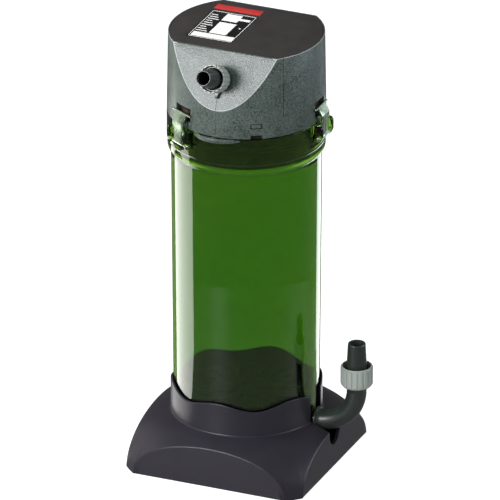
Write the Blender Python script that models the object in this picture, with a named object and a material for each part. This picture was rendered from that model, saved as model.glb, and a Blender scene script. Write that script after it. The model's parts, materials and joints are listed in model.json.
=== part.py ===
"""Canister filter for an aquarium: motor head, clear canister, foot, hose elbow and clips.

Metres, +Z up, front towards -Y. The origin is the centre of the footprint on the ground.
Every piece hangs from one empty that stands on the canister's own axis.
"""
import math

import bmesh
import bpy
from mathutils import Matrix, Vector

MM = 0.001
GAP = 0.3 * MM              # clearance between fixed pieces that meet
WELD = 0.002 * MM           # distance under which two points are one
PAST = 1.0 * MM             # how far a cutter reaches past what it cuts
REACH = 5.0 * MM            # the same, for long bores and open ends
SPACE = 80.0 * MM           # half the side of a cutter wider than the object
ROUND = 40                  # sides of the large turned pieces
SMALL_ROUND = 20            # sides of hose fittings
PIN_ROUND = 12              # sides of pins and shafts
FOOT_ROUND = 48             # sides of the foot's dome
DOME_STEPS = 7
COLLAR_ROUND = 60           # sides of the foot's collar, ten to each wave

# Foot
FOOT_HALF = 67.2 * MM       # half the side of its square
FOOT_WALL = 2.4 * MM
DOME_BASE_R = 88.8 * MM     # the dome meets the ground on this circle
DOME_FLAT_R = 30.0 * MM     # the dome's quarter ellipse starts here
DOME_HEIGHT = 38.0 * MM
COLLAR_R = 53.4 * MM        # ring that holds the canister
COLLAR_BORE_R = 51.75 * MM
COLLAR_TOP = 56.0 * MM
COLLAR_WAVE = 2.4 * MM
COLLAR_WAVES = 6
SHELF_R = 38.0 * MM
SHELF_LOW = 17.2 * MM
SHELF_HIGH = 19.7 * MM
CROWN_DROP = 0.5 * MM       # the hollow dome sits this much lower
COLLAR_LAP = 0.6 * MM       # how far the collar bites into the dome
NOTCH_HALF = 9.2 * MM
NOTCH_LOW = 17.0 * MM
NOTCH_HIGH = 70.0 * MM
NOTCH_NEAR = 50.0 * MM
NOTCH_FAR = 80.0 * MM

# Canister
CAN_LOW = 20.0 * MM
CAN_RIM = 264.0 * MM
CAN_FOOT_R = 51.2 * MM
CAN_NECK_R = 52.8 * MM
CAN_WALL = 2.2 * MM
CAN_COLLAR_R = 55.7 * MM
CAN_COLLAR_BORE_R = 53.3 * MM
CAN_NECK_Z = 232.0 * MM
CAN_STEP_Z = 240.0 * MM     # inner step that carries the upper grille
CAN_HEEL = 3.5 * MM         # rounding at the bottom edge
# the collar's ring lines: how far inside its radius, and height
COLLAR_LINES = ((0.9 * MM, 236.8 * MM), (0.5 * MM, 238.2 * MM), (0.5 * MM, 243.6 * MM), (0, 244.4 * MM))
INLET_Z = 34.4 * MM
SOCKET_R = 8.4 * MM
SOCKET_BORE_R = 6.5 * MM
SOCKET_IN_X = 44.0 * MM
SOCKET_OUT_X = 53.6 * MM

# Clips, three of them, one on the left front, one on the right, one at the back
CLIP_ANGLES = (-30.0, 90.0, 210.0)
PIN_R = 0.95 * MM
PIN_AXIS_R = 58.7 * MM      # distance of the pin from the canister's axis
PIN_Z = 254.0 * MM
PIN_HALF = 11.4 * MM
PIN_HEAD_R = 1.5 * MM
PIN_HEAD = 0.8 * MM
EAR_INNER = 7.6 * MM        # from the clip's middle to the ear
EAR_OUTER = 10.6 * MM
EAR_REACH_R = 61.4 * MM
EAR_ROOT = 1.2 * MM         # bite into the collar
EAR_DROP = 3.0 * MM         # below the pin
EAR_CORNER = 3.0 * MM
EAR_FOOT = 0.8 * MM
CLIP_HALF = 6.1 * MM
CLIP_FOOT_HALF = 3.2 * MM
CLIP_SHEET = 0.8 * MM
CLIP_FACE = 1.3 * MM        # the plate's outer face, outward of the pin
CLIP_TOP = 16.0 * MM        # where the plate turns in towards the head, above the pin
CLIP_LIP = (-2.4 * MM, 21.4 * MM)
CLIP_SPREAD = 1.0 * MM      # the lip is wider than the plate by this, each side
CLIP_WAIST = 3.0 * MM
FLANK_LOW = 7.0 * MM
FLANK_ROOT = 9.5 * MM
FLANK_THICK = 0.85 * MM
FLANK_INSET = 0.15 * MM
TONGUE_BACK = -5.4 * MM
TONGUE_HALF = 3.6 * MM
TONGUE_THICK = 0.8 * MM
CLIP_BARREL_HALF = 5.6 * MM
CLIP_BARREL_R = 2.0 * MM
CLIP_BORE_R = 1.04 * MM
CLIP_BAR_HALF = 10.2 * MM
CLIP_BAR_R = 0.75 * MM
BAR_ROUND = 10

# Motor head
HEAD_LOW = 264.5 * MM
HEAD_TOP = 323.0 * MM
HEAD_LOW_R = 55.65 * MM
HEAD_TOP_R = 54.7 * MM
HEAD_EDGE = 1.2 * MM        # chamfer of the rim at the top
HEAD_EDGE_SLOPE = 0.7
HEAD_STEPS = 14
HEAD_WALL = 2.6 * MM
FLAT_TILT = math.radians(23.7)   # how far the flats lean from vertical
FRONT_FLAT_Y = -38.4 * MM   # at the top edge
BACK_FLAT_Y = 42.0 * MM
COVER_INSET = 1.0 * MM
COVER_DEPTH = 2.2 * MM
LABEL_SIZE = (34.0 * MM, 47.5 * MM)
LABEL_CENTRE = (-18.0 * MM, -0.8 * MM)
LABEL_THICK = 0.5 * MM
SLOT_HALF = 8.0 * MM        # clip slots in the head
SLOT_LOW = 268.6 * MM
SLOT_HIGH = 280.0 * MM
WINDOW_ANGLES = (30.0, 150.0, 270.0)
WINDOW_HALF = 4.15 * MM
WINDOW_LOW = 272.0 * MM
WINDOW_HIGH = 276.0 * MM
NOTCH_HIGH = 267.3 * MM
LEDGE_ANGLE = math.radians(18.5)
LEDGE_REACH = 6.0 * MM
LEDGE_LOW = 262.3 * MM
LEDGE_HIGH = 265.4 * MM
LEDGE_ROOT = 1.2 * MM       # bite into the wall
OUTLET_HOLE_R = 7.6 * MM
GLAND_HOLE_R = 5.3 * MM

# Pump inside the head
BODY_R = 52.6 * MM
BODY_WALL = 2.0 * MM
PLUG_R = 52.8 * MM
PLUG_INNER_R = 46.5 * MM
SKIRT_LOW = 242.6 * MM
PLUG_LOW = 249.3 * MM
PLUG_FLOOR = 261.5 * MM
PLUG_TOP = 264.2 * MM
BODY_DECK = 268.0 * MM
BODY_RIM = 277.0 * MM
GROOVE_R = 49.3 * MM
GROOVE_LOW = 253.0 * MM
GROOVE_HIGH = 257.0 * MM
SEAL_R = 51.3 * MM
SEAL_THICK_R = 1.65 * MM
CHAMBER_R = 27.0 * MM
CHAMBER_WALL_R = 29.5 * MM
WELL_R = 10.5 * MM
WELL_WALL_R = 11.9 * MM
WELL_TOP = 297.0 * MM
WELL_CAP = 298.5 * MM
PORT_Y = -21.5 * MM
PORT_R = 4.0 * MM
DUCT_R = 5.3 * MM
COVER_LOW = 247.0 * MM
COVER_HIGH = 249.0 * MM
EYE_R = 8.0 * MM
HUB_R = 3.6 * MM
HUB_DROP = 0.8 * MM
ARM_HALF = 0.8 * MM
SHAFT_R = 1.5 * MM
SHAFT_LOW = 247.5 * MM
SHAFT_HIGH = 296.2 * MM
RUNNING_BORE_R = 1.58 * MM
UPPER_BUSH_R = 4.2 * MM
LOWER_BUSH_R = 2.4 * MM
BUSH_SEAT_R = 2.7 * MM
MAGNET_R = 9.2 * MM
MAGNET_LOW = 268.0 * MM
MAGNET_HIGH = 292.5 * MM
IMPELLER_R = 17.0 * MM
BLADE_LOW = 251.0 * MM
BLADE_HIGH = 258.5 * MM
DISC_HIGH = 260.0 * MM
BLADE_THICK = 1.2 * MM
BLADE_LAP = 0.6 * MM        # bite into the disc
WHEEL_HUB_R = 4.0 * MM
SLEEVE_R = 5.0 * MM
WHEEL_ROUND = 32
CORE_LOW = 274.0 * MM
CORE_HIGH = 292.0 * MM
CORE_BORE_R = 12.4 * MM
CORE_HALF = 24.0 * MM
LEG_INNER = 12.0 * MM
CORE_FRONT = -14.0 * MM
CORE_BACK = 36.0 * MM
COIL_FRONT = 13.4 * MM
COIL_BACK = 25.6 * MM
COIL_WALL = 4.6 * MM
CORE_SLIT_HALF = 2.0 * MM
CORE_WINDOW = 2.0 * MM      # the window starts behind the bore's centre

# Outlet, in its own frame: +Z is the outlet's direction and z = 0 is the head's front flat
OUTLET_Z = 304.5 * MM
OUTLET_LENGTH = 33.0 * MM
OUTLET_SHANK_R = 6.6 * MM
OUTLET_THREAD_R = 7.3 * MM
OUTLET_TAIL_R = 7.0 * MM
OUTLET_TIP_R = 5.4 * MM
OUTLET_BORE_R = 4.7 * MM
OUTLET_NUT_R = 9.7 * MM
OUTLET_NUT_BORE_R = 7.6 * MM
OUTLET_MOUTH_R = 8.9 * MM
OUTLET_NUT_LOW = 4.0 * MM
OUTLET_NUT_HIGH = 18.3 * MM
OUTLET_THREAD = 7.0 * MM    # length of the thread inside the nut
OUTLET_INNER = 9.0 * MM     # length of the shank inside the head
OUTLET_FLANGE_R = 8.8 * MM
OUTLET_FLANGE = 3.4 * MM
OUTLET_TIP = 3.0 * MM       # the tail's last, steeper stretch
TIP_SWELL = 0.35 * MM
KEY_HALF = 1.2 * MM
KEY_TOP_HALF = 0.7 * MM
KEY_HIGH = 3.2 * MM
KEY_FAR = -13.6 * MM
KEY_NEAR = -7.8 * MM
DUCT_STEPS = 8
DUCT_STRAIGHT = 0.15        # share of the duct's curve left out at its foot
DUCT_BORE_R = 3.8 * MM

# Gland in the back flat, in a frame like the outlet's
GLAND_BORE_R = 3.3 * MM
GLAND_NECK_R = 5.0 * MM
GLAND_FLANGE_R = 7.2 * MM
GLAND_TIP_R = 4.6 * MM
GLAND_INNER = 4.0 * MM
GLAND_FLANGE = 2.0 * MM
GLAND_LENGTH = 7.5 * MM

# Inlet elbow, in its own frame: +X is out of the socket, z = 0 is the socket's axis
ELBOW_X = 53.9 * MM         # the elbow's flange starts here
LEG_X = 83.7 * MM
BEND_R = 27.0 * MM
PIPE_R = 7.0 * MM
ELBOW_BORE_R = 4.4 * MM
ELBOW_FLANGE_R = 8.6 * MM
ELBOW_FLANGE = 1.3 * MM
PLUG_IN = 9.3 * MM          # how far it reaches into the socket
PLUG_IN_R = 6.15 * MM
GROOVE_FAR = 6.6 * MM       # the seal's groove, measured into the socket
GROOVE_NEAR = 4.8 * MM
RING_GROOVE_R = 4.95 * MM
RING_R = 5.72 * MM
RING_THICK_R = 0.66 * MM
INLET_TIP_Z = 98.0 * MM
INLET_TAIL_R = 7.1 * MM
INLET_TIP_R = 6.3 * MM
INLET_BORE_R = 4.9 * MM
INLET_THREAD_R = 8.0 * MM
INLET_THREAD = 6.5 * MM     # length of the thread inside the nut
ROOT_LENGTH = 3.6 * MM
THREAD_RUN_IN = 1.2 * MM
THROAT_DEEP = 4.0 * MM
BEND_STEPS = 9
INLET_NUT_R = 11.45 * MM
INLET_NUT_BORE_R = 8.35 * MM
INLET_MOUTH_R = 9.9 * MM
INLET_NUT_LOW = 65.5 * MM
INLET_NUT_HIGH = 81.0 * MM
NUT_RIBS = 18
NUT_RIB_DEPTH = 0.45 * MM
NUT_SHOULDER = 0.4          # share of a nut's length taken by its thread
NUT_CHAMFER = 2.6 * MM
NUT_RIM = 1.0 * MM
RIM_INSET = 0.1 * MM
SLIT_HALF = 1.0 * MM
OUTLET_GRIP = 5.0 * MM
INLET_GRIP = 5.5 * MM

# Grilles
LOWER_GRILLE_R = 48.4 * MM
LOWER_GRILLE_Z = 45.0 * MM
UPPER_GRILLE_R = 52.9 * MM
UPPER_GRILLE_Z = 240.3 * MM
GRILLE_THICK = 2.0 * MM
GRILLE_SLOT = 2.2 * MM
GRILLE_ROWS = ((0.16, 0.50, 12), (0.56, 0.88, 24))   # slots' inner and outer ends, and their count
LEG_R = 3.0 * MM
LEG_OFF = 34.9 * MM         # distance of the legs from the axis

# The footprint's centre, seen from the canister's axis
OUTLET_Y = FRONT_FLAT_Y - (HEAD_TOP - OUTLET_Z) * math.tan(FLAT_TILT)
RIGHT_REACH = LEG_X + INLET_NUT_R
FRONT_REACH = -OUTLET_Y + OUTLET_LENGTH * math.cos(FLAT_TILT) + OUTLET_TIP_R * math.sin(FLAT_TILT)
AXIS_X = (FOOT_HALF - RIGHT_REACH) / 2
AXIS_Y = (FRONT_REACH - FOOT_HALF) / 2


# Meshes -------------------------------------------------------------------------------------

def finished(bm, name):
    """Weld a bmesh, point its faces outward and return it as a mesh."""
    bmesh.ops.remove_doubles(bm, verts=bm.verts, dist=WELD)
    bmesh.ops.recalc_face_normals(bm, faces=bm.faces)
    mesh = bpy.data.meshes.new(name)
    bm.to_mesh(mesh)
    bm.free()
    return mesh


def turned(outline, sides=ROUND):
    """Turn a closed outline of (radius, height) points about Z."""
    bm = bmesh.new()
    verts = [bm.verts.new((radius, 0, height)) for radius, height in outline]
    edges = [
        bm.edges.new((a, b))
        for a, b in zip(verts, verts[1:] + verts[:1])
        if a.co.x > WELD or b.co.x > WELD
    ]
    bmesh.ops.spin(
        bm, geom=verts + edges, axis=(0, 0, 1), cent=(0, 0, 0),
        angle=math.tau, steps=sides, use_merge=True,
    )
    loose = [vert for vert in bm.verts if not vert.link_faces]
    bmesh.ops.delete(bm, geom=loose, context="VERTS")
    return finished(bm, "turned")


def ring(inner, outer, low, high, sides=ROUND):
    """A plain tube, or a disc when inner is 0."""
    return turned([(inner, low), (outer, low), (outer, high), (inner, high)], sides)


def prism(outline, low, high):
    """Extrude an outline of (x, y) points from z = low to z = high."""
    bm = bmesh.new()
    face = bm.faces.new([bm.verts.new((x, y, low)) for x, y in outline])
    lifted = bmesh.ops.extrude_face_region(bm, geom=[face])["geom"]
    moved = [item for item in lifted if isinstance(item, bmesh.types.BMVert)]
    bmesh.ops.translate(bm, vec=(0, 0, high - low), verts=moved)
    return finished(bm, "prism")


def slab(outline, low, high):
    """Extrude an outline of (x, z) points from y = low to y = high."""
    mesh = prism(outline, -high, -low)
    mesh.transform(Matrix.Rotation(math.pi / 2, 4, "X"))
    return mesh


def box(low, high):
    """A block between two corners."""
    outline = [(low[0], low[1]), (high[0], low[1]), (high[0], high[1]), (low[0], high[1])]
    return prism(outline, low[2], high[2])


def torus(major, minor, sides=ROUND, around=6):
    """A seal ring about Z."""
    steps = [math.tau * step / around for step in range(around)]
    return turned([(major + minor * math.cos(a), minor * math.sin(a)) for a in steps], sides)


def moved(mesh, offset=(0, 0, 0), turn=0.0, axis="Z"):
    """Turn a mesh about one axis through the origin, then shift it."""
    mesh.transform(Matrix.Translation(Vector(offset)) @ Matrix.Rotation(turn, 4, axis))
    return mesh


def solid_object(mesh):
    thing = bpy.data.objects.new("solid", mesh)
    bpy.context.scene.collection.objects.link(thing)
    return thing


def combined(operation, first, *others):
    """Join, cut or intersect the first mesh with each of the others in turn."""
    base = solid_object(first)
    tools = [solid_object(mesh) for mesh in others]
    for tool in tools:
        step = base.modifiers.new("combine", "BOOLEAN")
        step.operation = operation
        step.solver = "EXACT"
        step.object = tool
    bpy.context.view_layer.update()
    graph = bpy.context.evaluated_depsgraph_get()
    result = bpy.data.meshes.new_from_object(base.evaluated_get(graph))
    for thing in [base] + tools:
        bpy.data.objects.remove(thing)
    bm = bmesh.new()
    bm.from_mesh(result)
    bmesh.ops.dissolve_degenerate(bm, dist=WELD, edges=bm.edges)
    return finished(bm, "combined")


def joined(*meshes):
    return combined("UNION", *meshes)


def cut(*meshes):
    return combined("DIFFERENCE", *meshes)


def common(*meshes):
    return combined("INTERSECT", *meshes)


def gathered(meshes):
    """Several meshes that stay clear of each other, as one cutter."""
    bm = bmesh.new()
    for mesh in meshes:
        bm.from_mesh(mesh)
    return finished(bm, "gathered")


def pipe(points, radius, resolution):
    """A round bar along a list of points, with flat ends."""
    curve = bpy.data.curves.new("pipe", "CURVE")
    curve.dimensions = "3D"
    curve.bevel_depth = radius
    curve.bevel_resolution = resolution
    curve.use_fill_caps = True
    spline = curve.splines.new("POLY")
    spline.points.add(len(points) - 1)
    for point, place in zip(spline.points, points):
        point.co = (*place, 1)
    thing = bpy.data.objects.new("pipe", curve)
    bpy.context.scene.collection.objects.link(thing)
    bpy.context.view_layer.update()
    graph = bpy.context.evaluated_depsgraph_get()
    mesh = bpy.data.meshes.new_from_object(thing.evaluated_get(graph))
    bpy.data.objects.remove(thing)
    bm = bmesh.new()
    bm.from_mesh(mesh)
    return finished(bm, "pipe")


def arc(centre, radius, start, stop, steps):
    """Points on an arc, angles in degrees."""
    angles = [math.radians(start + (stop - start) * step / steps) for step in range(steps + 1)]
    return [(centre[0] + radius * math.cos(a), centre[1] + radius * math.sin(a)) for a in angles]


def around_axis(degrees, radius, height):
    """A place at an angle measured from the front towards the right."""
    angle = math.radians(degrees)
    return (radius * math.sin(angle), -radius * math.cos(angle), height)


def facing(degrees):
    """Turn about Z that points local +X outward at that angle."""
    return math.radians(degrees - 90)


# Scene objects ------------------------------------------------------------------------------

def clear_scene():
    for thing in list(bpy.data.objects):
        bpy.data.objects.remove(thing)


def material(name, colour, roughness, metallic=0.0, alpha=1.0):
    made = bpy.data.materials.new(name)
    made.use_nodes = True
    shader = made.node_tree.nodes["Principled BSDF"]
    shader.inputs["Base Color"].default_value = (*colour, 1)
    shader.inputs["Roughness"].default_value = roughness
    shader.inputs["Metallic"].default_value = metallic
    shader.inputs["Alpha"].default_value = alpha
    return made


def empty(name, parent=None, location=(0, 0, 0), rotation=(0, 0, 0)):
    thing = bpy.data.objects.new(name, None)
    thing.empty_display_size = 0.02
    thing.parent = parent
    thing.location = location
    thing.rotation_euler = rotation
    bpy.context.scene.collection.objects.link(thing)
    return thing


def piece(name, mesh, finish, parent, location=(0, 0, 0), rotation=(0, 0, 0)):
    """Add one named sub-part."""
    mesh.name = name
    mesh.materials.clear()
    mesh.materials.append(finish)
    mesh.shade_smooth()
    mesh.set_sharp_from_angle(angle=math.radians(32))
    thing = bpy.data.objects.new(name, mesh)
    thing.parent = parent
    thing.location = location
    thing.rotation_euler = rotation
    bpy.context.scene.collection.objects.link(thing)
    return thing


# Foot ---------------------------------------------------------------------------------------

def dome(base_r, height, half):
    """A low dome trimmed to a square, open to nothing: one solid from the ground up."""
    run = base_r - DOME_FLAT_R
    swings = [math.pi / 2 * step / DOME_STEPS for step in range(DOME_STEPS)]
    slope = [(DOME_FLAT_R + run * math.sin(a), height * math.cos(a)) for a in swings]
    outline = [(0, -PAST), (base_r, -PAST), (base_r, 0)] + slope[::-1] + [(0, height)]
    trim = box((-half, -half, 0), (half, half, height + REACH))
    return common(turned(outline, FOOT_ROUND), trim)


def foot_collar():
    """The ring round the canister, with a wavy top edge and a shelf inside."""
    outline = [
        (SHELF_R, SHELF_LOW), (COLLAR_R, SHELF_LOW), (COLLAR_R, COLLAR_TOP),
        (COLLAR_BORE_R, COLLAR_TOP), (COLLAR_BORE_R, SHELF_HIGH), (SHELF_R, SHELF_HIGH),
    ]
    mesh = turned(outline, COLLAR_ROUND)
    for vert in mesh.vertices:
        if vert.co.z > COLLAR_TOP - WELD:
            angle = math.atan2(vert.co.x, -vert.co.y)
            vert.co.z += COLLAR_WAVE * math.cos(COLLAR_WAVES * angle)
    return mesh


def make_foot(parent, finish):
    outer = dome(DOME_BASE_R, DOME_HEIGHT, FOOT_HALF)
    inner = dome(DOME_BASE_R - FOOT_WALL, DOME_HEIGHT - FOOT_WALL, FOOT_HALF - FOOT_WALL)
    inner.transform(Matrix.Translation((0, 0, -CROWN_DROP)))
    middle = (0, NOTCH_LOW + NOTCH_HALF)
    notch = [(-NOTCH_HALF, NOTCH_HIGH)] + arc(middle, NOTCH_HALF, 180, 360, 12) + [(NOTCH_HALF, NOTCH_HIGH)]
    notch_cut = moved(slab(notch, -NOTCH_FAR, -NOTCH_NEAR), turn=math.pi / 2)
    bore = ring(0, COLLAR_R - COLLAR_LAP, SHELF_LOW - REACH, COLLAR_TOP + REACH, COLLAR_ROUND)
    shell = cut(outer, inner, bore)
    whole = cut(joined(shell, foot_collar()), notch_cut)
    return piece("foot_base", whole, finish, parent)


# Canister -----------------------------------------------------------------------------------

def ear(side):
    """One of the two ears that carry a clip's pin, outline in (distance, height)."""
    root = CAN_COLLAR_R - EAR_ROOT
    low = PIN_Z - EAR_DROP
    outline = [(root, low), (PIN_AXIS_R + EAR_FOOT, low), (EAR_REACH_R, PIN_Z)]
    outline += arc((EAR_REACH_R - EAR_CORNER, CAN_RIM - EAR_CORNER), EAR_CORNER, 0, 90, 5)
    outline += [(root, CAN_RIM)]
    low_y, high_y = sorted((side * EAR_INNER, side * EAR_OUTER))
    return slab(outline, low_y, high_y)


def make_canister(parent, finish):
    floor = CAN_LOW + CAN_WALL
    inner_foot = CAN_FOOT_R - CAN_WALL
    inner_neck = CAN_NECK_R - CAN_WALL
    outline = [(0, CAN_LOW)]
    outline += arc((CAN_FOOT_R - CAN_HEEL, CAN_LOW + CAN_HEEL), CAN_HEEL, 270, 360, 3)
    outline += [(CAN_NECK_R, CAN_NECK_Z)]
    outline += [(CAN_COLLAR_R - inset, height) for inset, height in COLLAR_LINES]
    outline += [
        (CAN_COLLAR_R, CAN_RIM), (CAN_COLLAR_BORE_R, CAN_RIM), (CAN_COLLAR_BORE_R, CAN_STEP_Z),
        (inner_neck, CAN_STEP_Z), (inner_neck, CAN_NECK_Z),
        (inner_foot, floor + CAN_WALL), (inner_foot - CAN_WALL, floor), (0, floor),
    ]
    body = turned(outline)
    along_x = {"turn": math.pi / 2, "axis": "Y", "offset": (0, 0, INLET_Z)}
    socket = moved(ring(0, SOCKET_R, SOCKET_IN_X, SOCKET_OUT_X, SMALL_ROUND), **along_x)
    bore = moved(ring(0, SOCKET_BORE_R, SOCKET_IN_X - REACH, SOCKET_OUT_X + REACH, SMALL_ROUND), **along_x)
    ears, holes = [], []
    for degrees in CLIP_ANGLES:
        for side in (-1, 1):
            ears.append(moved(ear(side), turn=facing(degrees)))
        hole = ring(0, PIN_R + GAP, -PIN_HALF - REACH, PIN_HALF + REACH, PIN_ROUND)
        moved(hole, turn=math.pi / 2, axis="X")
        moved(hole, offset=(PIN_AXIS_R, 0, PIN_Z))
        holes.append(moved(hole, turn=facing(degrees)))
    whole = cut(joined(body, socket, *ears), bore, *holes)
    return piece("canister", whole, finish, parent)


def grille(radius, low):
    """A round plate with two rings of narrow radial slots."""
    plate = ring(0, radius, low, low + GRILLE_THICK)
    cutters = []
    for inner, outer, count in GRILLE_ROWS:
        for step in range(count):
            bar = box(
                (radius * inner, -GRILLE_SLOT / 2, low - PAST),
                (radius * outer, GRILLE_SLOT / 2, low + GRILLE_THICK + PAST),
            )
            cutters.append(moved(bar, turn=math.tau * step / count))
    return cut(plate, gathered(cutters))


def make_grilles(parent, finish):
    """The strainer on four legs near the floor, and the one on the canister's inner step."""
    legs = []
    for step in range(4):
        leg = ring(0, LEG_R, CAN_LOW + CAN_WALL + GAP, LOWER_GRILLE_Z + GRILLE_THICK / 2, PIN_ROUND)
        moved(leg, offset=(LEG_OFF, 0, 0))
        legs.append(moved(leg, turn=math.tau * (step + 0.5) / 4))
    lower = joined(grille(LOWER_GRILLE_R, LOWER_GRILLE_Z), *legs)
    piece("lower_grille", lower, finish, parent)
    piece("upper_grille", grille(UPPER_GRILLE_R, UPPER_GRILLE_Z), finish, parent)


# Clips --------------------------------------------------------------------------------------

def clip_lever_mesh():
    """A pressed sheet clip about its pin: origin on the pin, +X outward, +Z up."""
    outer = CLIP_FACE
    inner = outer - CLIP_SHEET
    lip_x, lip_z = CLIP_LIP
    sheet = slab(
        [(inner, 0), (outer, 0), (outer, CLIP_TOP), (lip_x + CLIP_SHEET / 2, lip_z + GAP),
         (lip_x - GAP, lip_z - GAP), (inner, CLIP_TOP - GAP)],
        -CLIP_HALF, CLIP_HALF,
    )
    waist, wide, high = CLIP_TOP - CLIP_WAIST, CLIP_HALF + CLIP_SPREAD, lip_z + REACH
    taper = slab(
        [(-CLIP_FOOT_HALF, -PAST), (CLIP_FOOT_HALF, -PAST), (CLIP_HALF, waist),
         (wide, high), (-wide, high), (-CLIP_HALF, waist)],
        -REACH, REACH,
    )
    plate = common(sheet, moved(taper, turn=math.pi / 2))
    depth = CAN_COLLAR_R + GAP - PIN_AXIS_R
    bend, face = CLIP_TOP - FLANK_INSET, outer - FLANK_INSET
    flank = [(depth, FLANK_ROOT), (face, FLANK_LOW), (face, bend), (depth, bend)]
    edge = CLIP_HALF - FLANK_INSET
    flanks = [slab(flank, *sorted((side * (edge - FLANK_THICK), side * edge))) for side in (-1, 1)]
    tongue = box((TONGUE_BACK, -TONGUE_HALF, CLIP_TOP - GAP - TONGUE_THICK),
                 (outer - GAP, TONGUE_HALF, CLIP_TOP - GAP))
    barrel = ring(0, CLIP_BARREL_R, -CLIP_BARREL_HALF, CLIP_BARREL_HALF, PIN_ROUND)
    bar = ring(0, CLIP_BAR_R, -CLIP_BAR_HALF, CLIP_BAR_HALF, BAR_ROUND)
    bore = ring(0, CLIP_BORE_R, -CLIP_BARREL_HALF - REACH, CLIP_BARREL_HALF + REACH, PIN_ROUND)
    for mesh in (barrel, bar, bore):
        moved(mesh, turn=math.pi / 2, axis="X")
    moved(bar, offset=(lip_x, 0, lip_z))
    return cut(joined(plate, *flanks, tongue, barrel, bar), bore)


def clip_pin_mesh():
    """A headed pin along local Y."""
    head = PIN_HALF - PIN_HEAD
    outline = [
        (0, -PIN_HALF), (PIN_HEAD_R, -PIN_HALF), (PIN_HEAD_R, -head), (PIN_R, -head),
        (PIN_R, head), (PIN_HEAD_R, head), (PIN_HEAD_R, PIN_HALF), (0, PIN_HALF),
    ]
    return moved(turned(outline, PIN_ROUND), turn=math.pi / 2, axis="X")


def make_clips(parent, finish):
    lever, pin = clip_lever_mesh(), clip_pin_mesh()
    for number, degrees in enumerate(CLIP_ANGLES, start=1):
        place = around_axis(degrees, PIN_AXIS_R, PIN_Z)
        axis = empty(f"clip_axis_{number}", parent, place, (0, 0, facing(degrees)))
        piece(f"clip_lever_{number}", lever, finish, axis)
        piece(f"clip_pin_{number}", pin, finish, axis)


# Motor head ---------------------------------------------------------------------------------

def flat_normal(front):
    side = -1 if front else 1
    return Vector((0, side * math.cos(FLAT_TILT), math.sin(FLAT_TILT)))


def flat_cutter(front, depth=0.0):
    """Everything outside one of the head's two leaning flats, moved inward by depth."""
    normal = flat_normal(front)
    edge = Vector((0, FRONT_FLAT_Y if front else BACK_FLAT_Y, HEAD_TOP))
    block = box((-SPACE, -SPACE, 0), (SPACE, SPACE, SPACE))
    block.transform(normal.to_track_quat("Z", "X").to_matrix().to_4x4())
    return moved(block, offset=edge - normal * depth)


def head_block(inset):
    """The head as one solid, or its hollow when inset is the wall's thickness."""
    low = HEAD_LOW - (REACH if inset else 0)
    high = HEAD_TOP - (COVER_DEPTH if inset else 0)
    edge = 0 if inset else HEAD_EDGE
    outline = [(0, low), (HEAD_LOW_R - inset, low), (HEAD_TOP_R - inset, high - edge)]
    if edge:
        outline.append((HEAD_TOP_R - edge * HEAD_EDGE_SLOPE, high))
    outline.append((0, high))
    return cut(turned(outline), flat_cutter(True, inset), flat_cutter(False, inset))


def head_outline(inset):
    """Plan of the head's top: a circle with two flats."""
    radius = HEAD_TOP_R - inset
    front, back = FRONT_FLAT_Y + inset, BACK_FLAT_Y - inset
    low = math.degrees(math.asin(front / radius))
    high = math.degrees(math.asin(back / radius))
    right = arc((0, 0), radius, low, high, HEAD_STEPS)
    return right + arc((0, 0), radius, 180 - high, 180 - low, HEAD_STEPS)


def finger_ledge():
    """The crescent lip under the front edge, for lifting the head off."""
    half = HEAD_LOW_R * math.sin(LEDGE_ANGLE)
    root = HEAD_LOW_R * math.cos(LEDGE_ANGLE)
    rise = HEAD_LOW_R + LEDGE_REACH - root
    radius = (half ** 2 + rise ** 2) / (2 * rise)
    centre = (0, -(HEAD_LOW_R + LEDGE_REACH) + radius)
    spread = math.degrees(math.asin(half / radius))
    deep = 0.9 * math.degrees(LEDGE_ANGLE)
    lip = arc(centre, radius, 270 - spread, 270 + spread, HEAD_STEPS)
    back = arc((0, 0), HEAD_LOW_R - LEDGE_ROOT, 270 + deep, 270 - deep, HEAD_STEPS)
    clearance = ring(0, CAN_COLLAR_R + GAP, LEDGE_LOW - REACH, HEAD_LOW + GAP / 2)
    return cut(prism(lip + back, LEDGE_LOW, LEDGE_HIGH), clearance)


def radial_block(degrees, half, low, high, near, far):
    """A block that points outward at an angle: a slot, window or tab."""
    return moved(box((near, -half, low), (far, half, high)), turn=facing(degrees))


def make_head_shell(parent, finish):
    recess = prism(head_outline(COVER_INSET), HEAD_TOP - COVER_DEPTH - GAP, HEAD_TOP + REACH)
    near, far = HEAD_LOW_R - HEAD_WALL - REACH, HEAD_LOW_R + REACH
    openings = [radial_block(a, SLOT_HALF, SLOT_LOW, SLOT_HIGH, near, far) for a in CLIP_ANGLES]
    for degrees in WINDOW_ANGLES:
        openings.append(radial_block(degrees, WINDOW_HALF, WINDOW_LOW, WINDOW_HIGH, near, far))
        openings.append(radial_block(degrees, WINDOW_HALF, HEAD_LOW - REACH, NOTCH_HIGH, near, far))
    deep = HEAD_WALL * 4
    outlet_hole = ring(0, OUTLET_HOLE_R, -deep, deep, SMALL_ROUND)
    outlet_hole.transform(outlet_frame_matrix())
    gland_hole = ring(0, GLAND_HOLE_R, -deep, deep, SMALL_ROUND)
    gland_hole.transform(gland_frame_matrix())
    block = joined(head_block(0), finger_ledge())
    holes = gathered(openings + [outlet_hole, gland_hole])
    shell = cut(block, holes, head_block(HEAD_WALL), recess)
    return piece("head_shell", shell, finish, parent)


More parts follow.
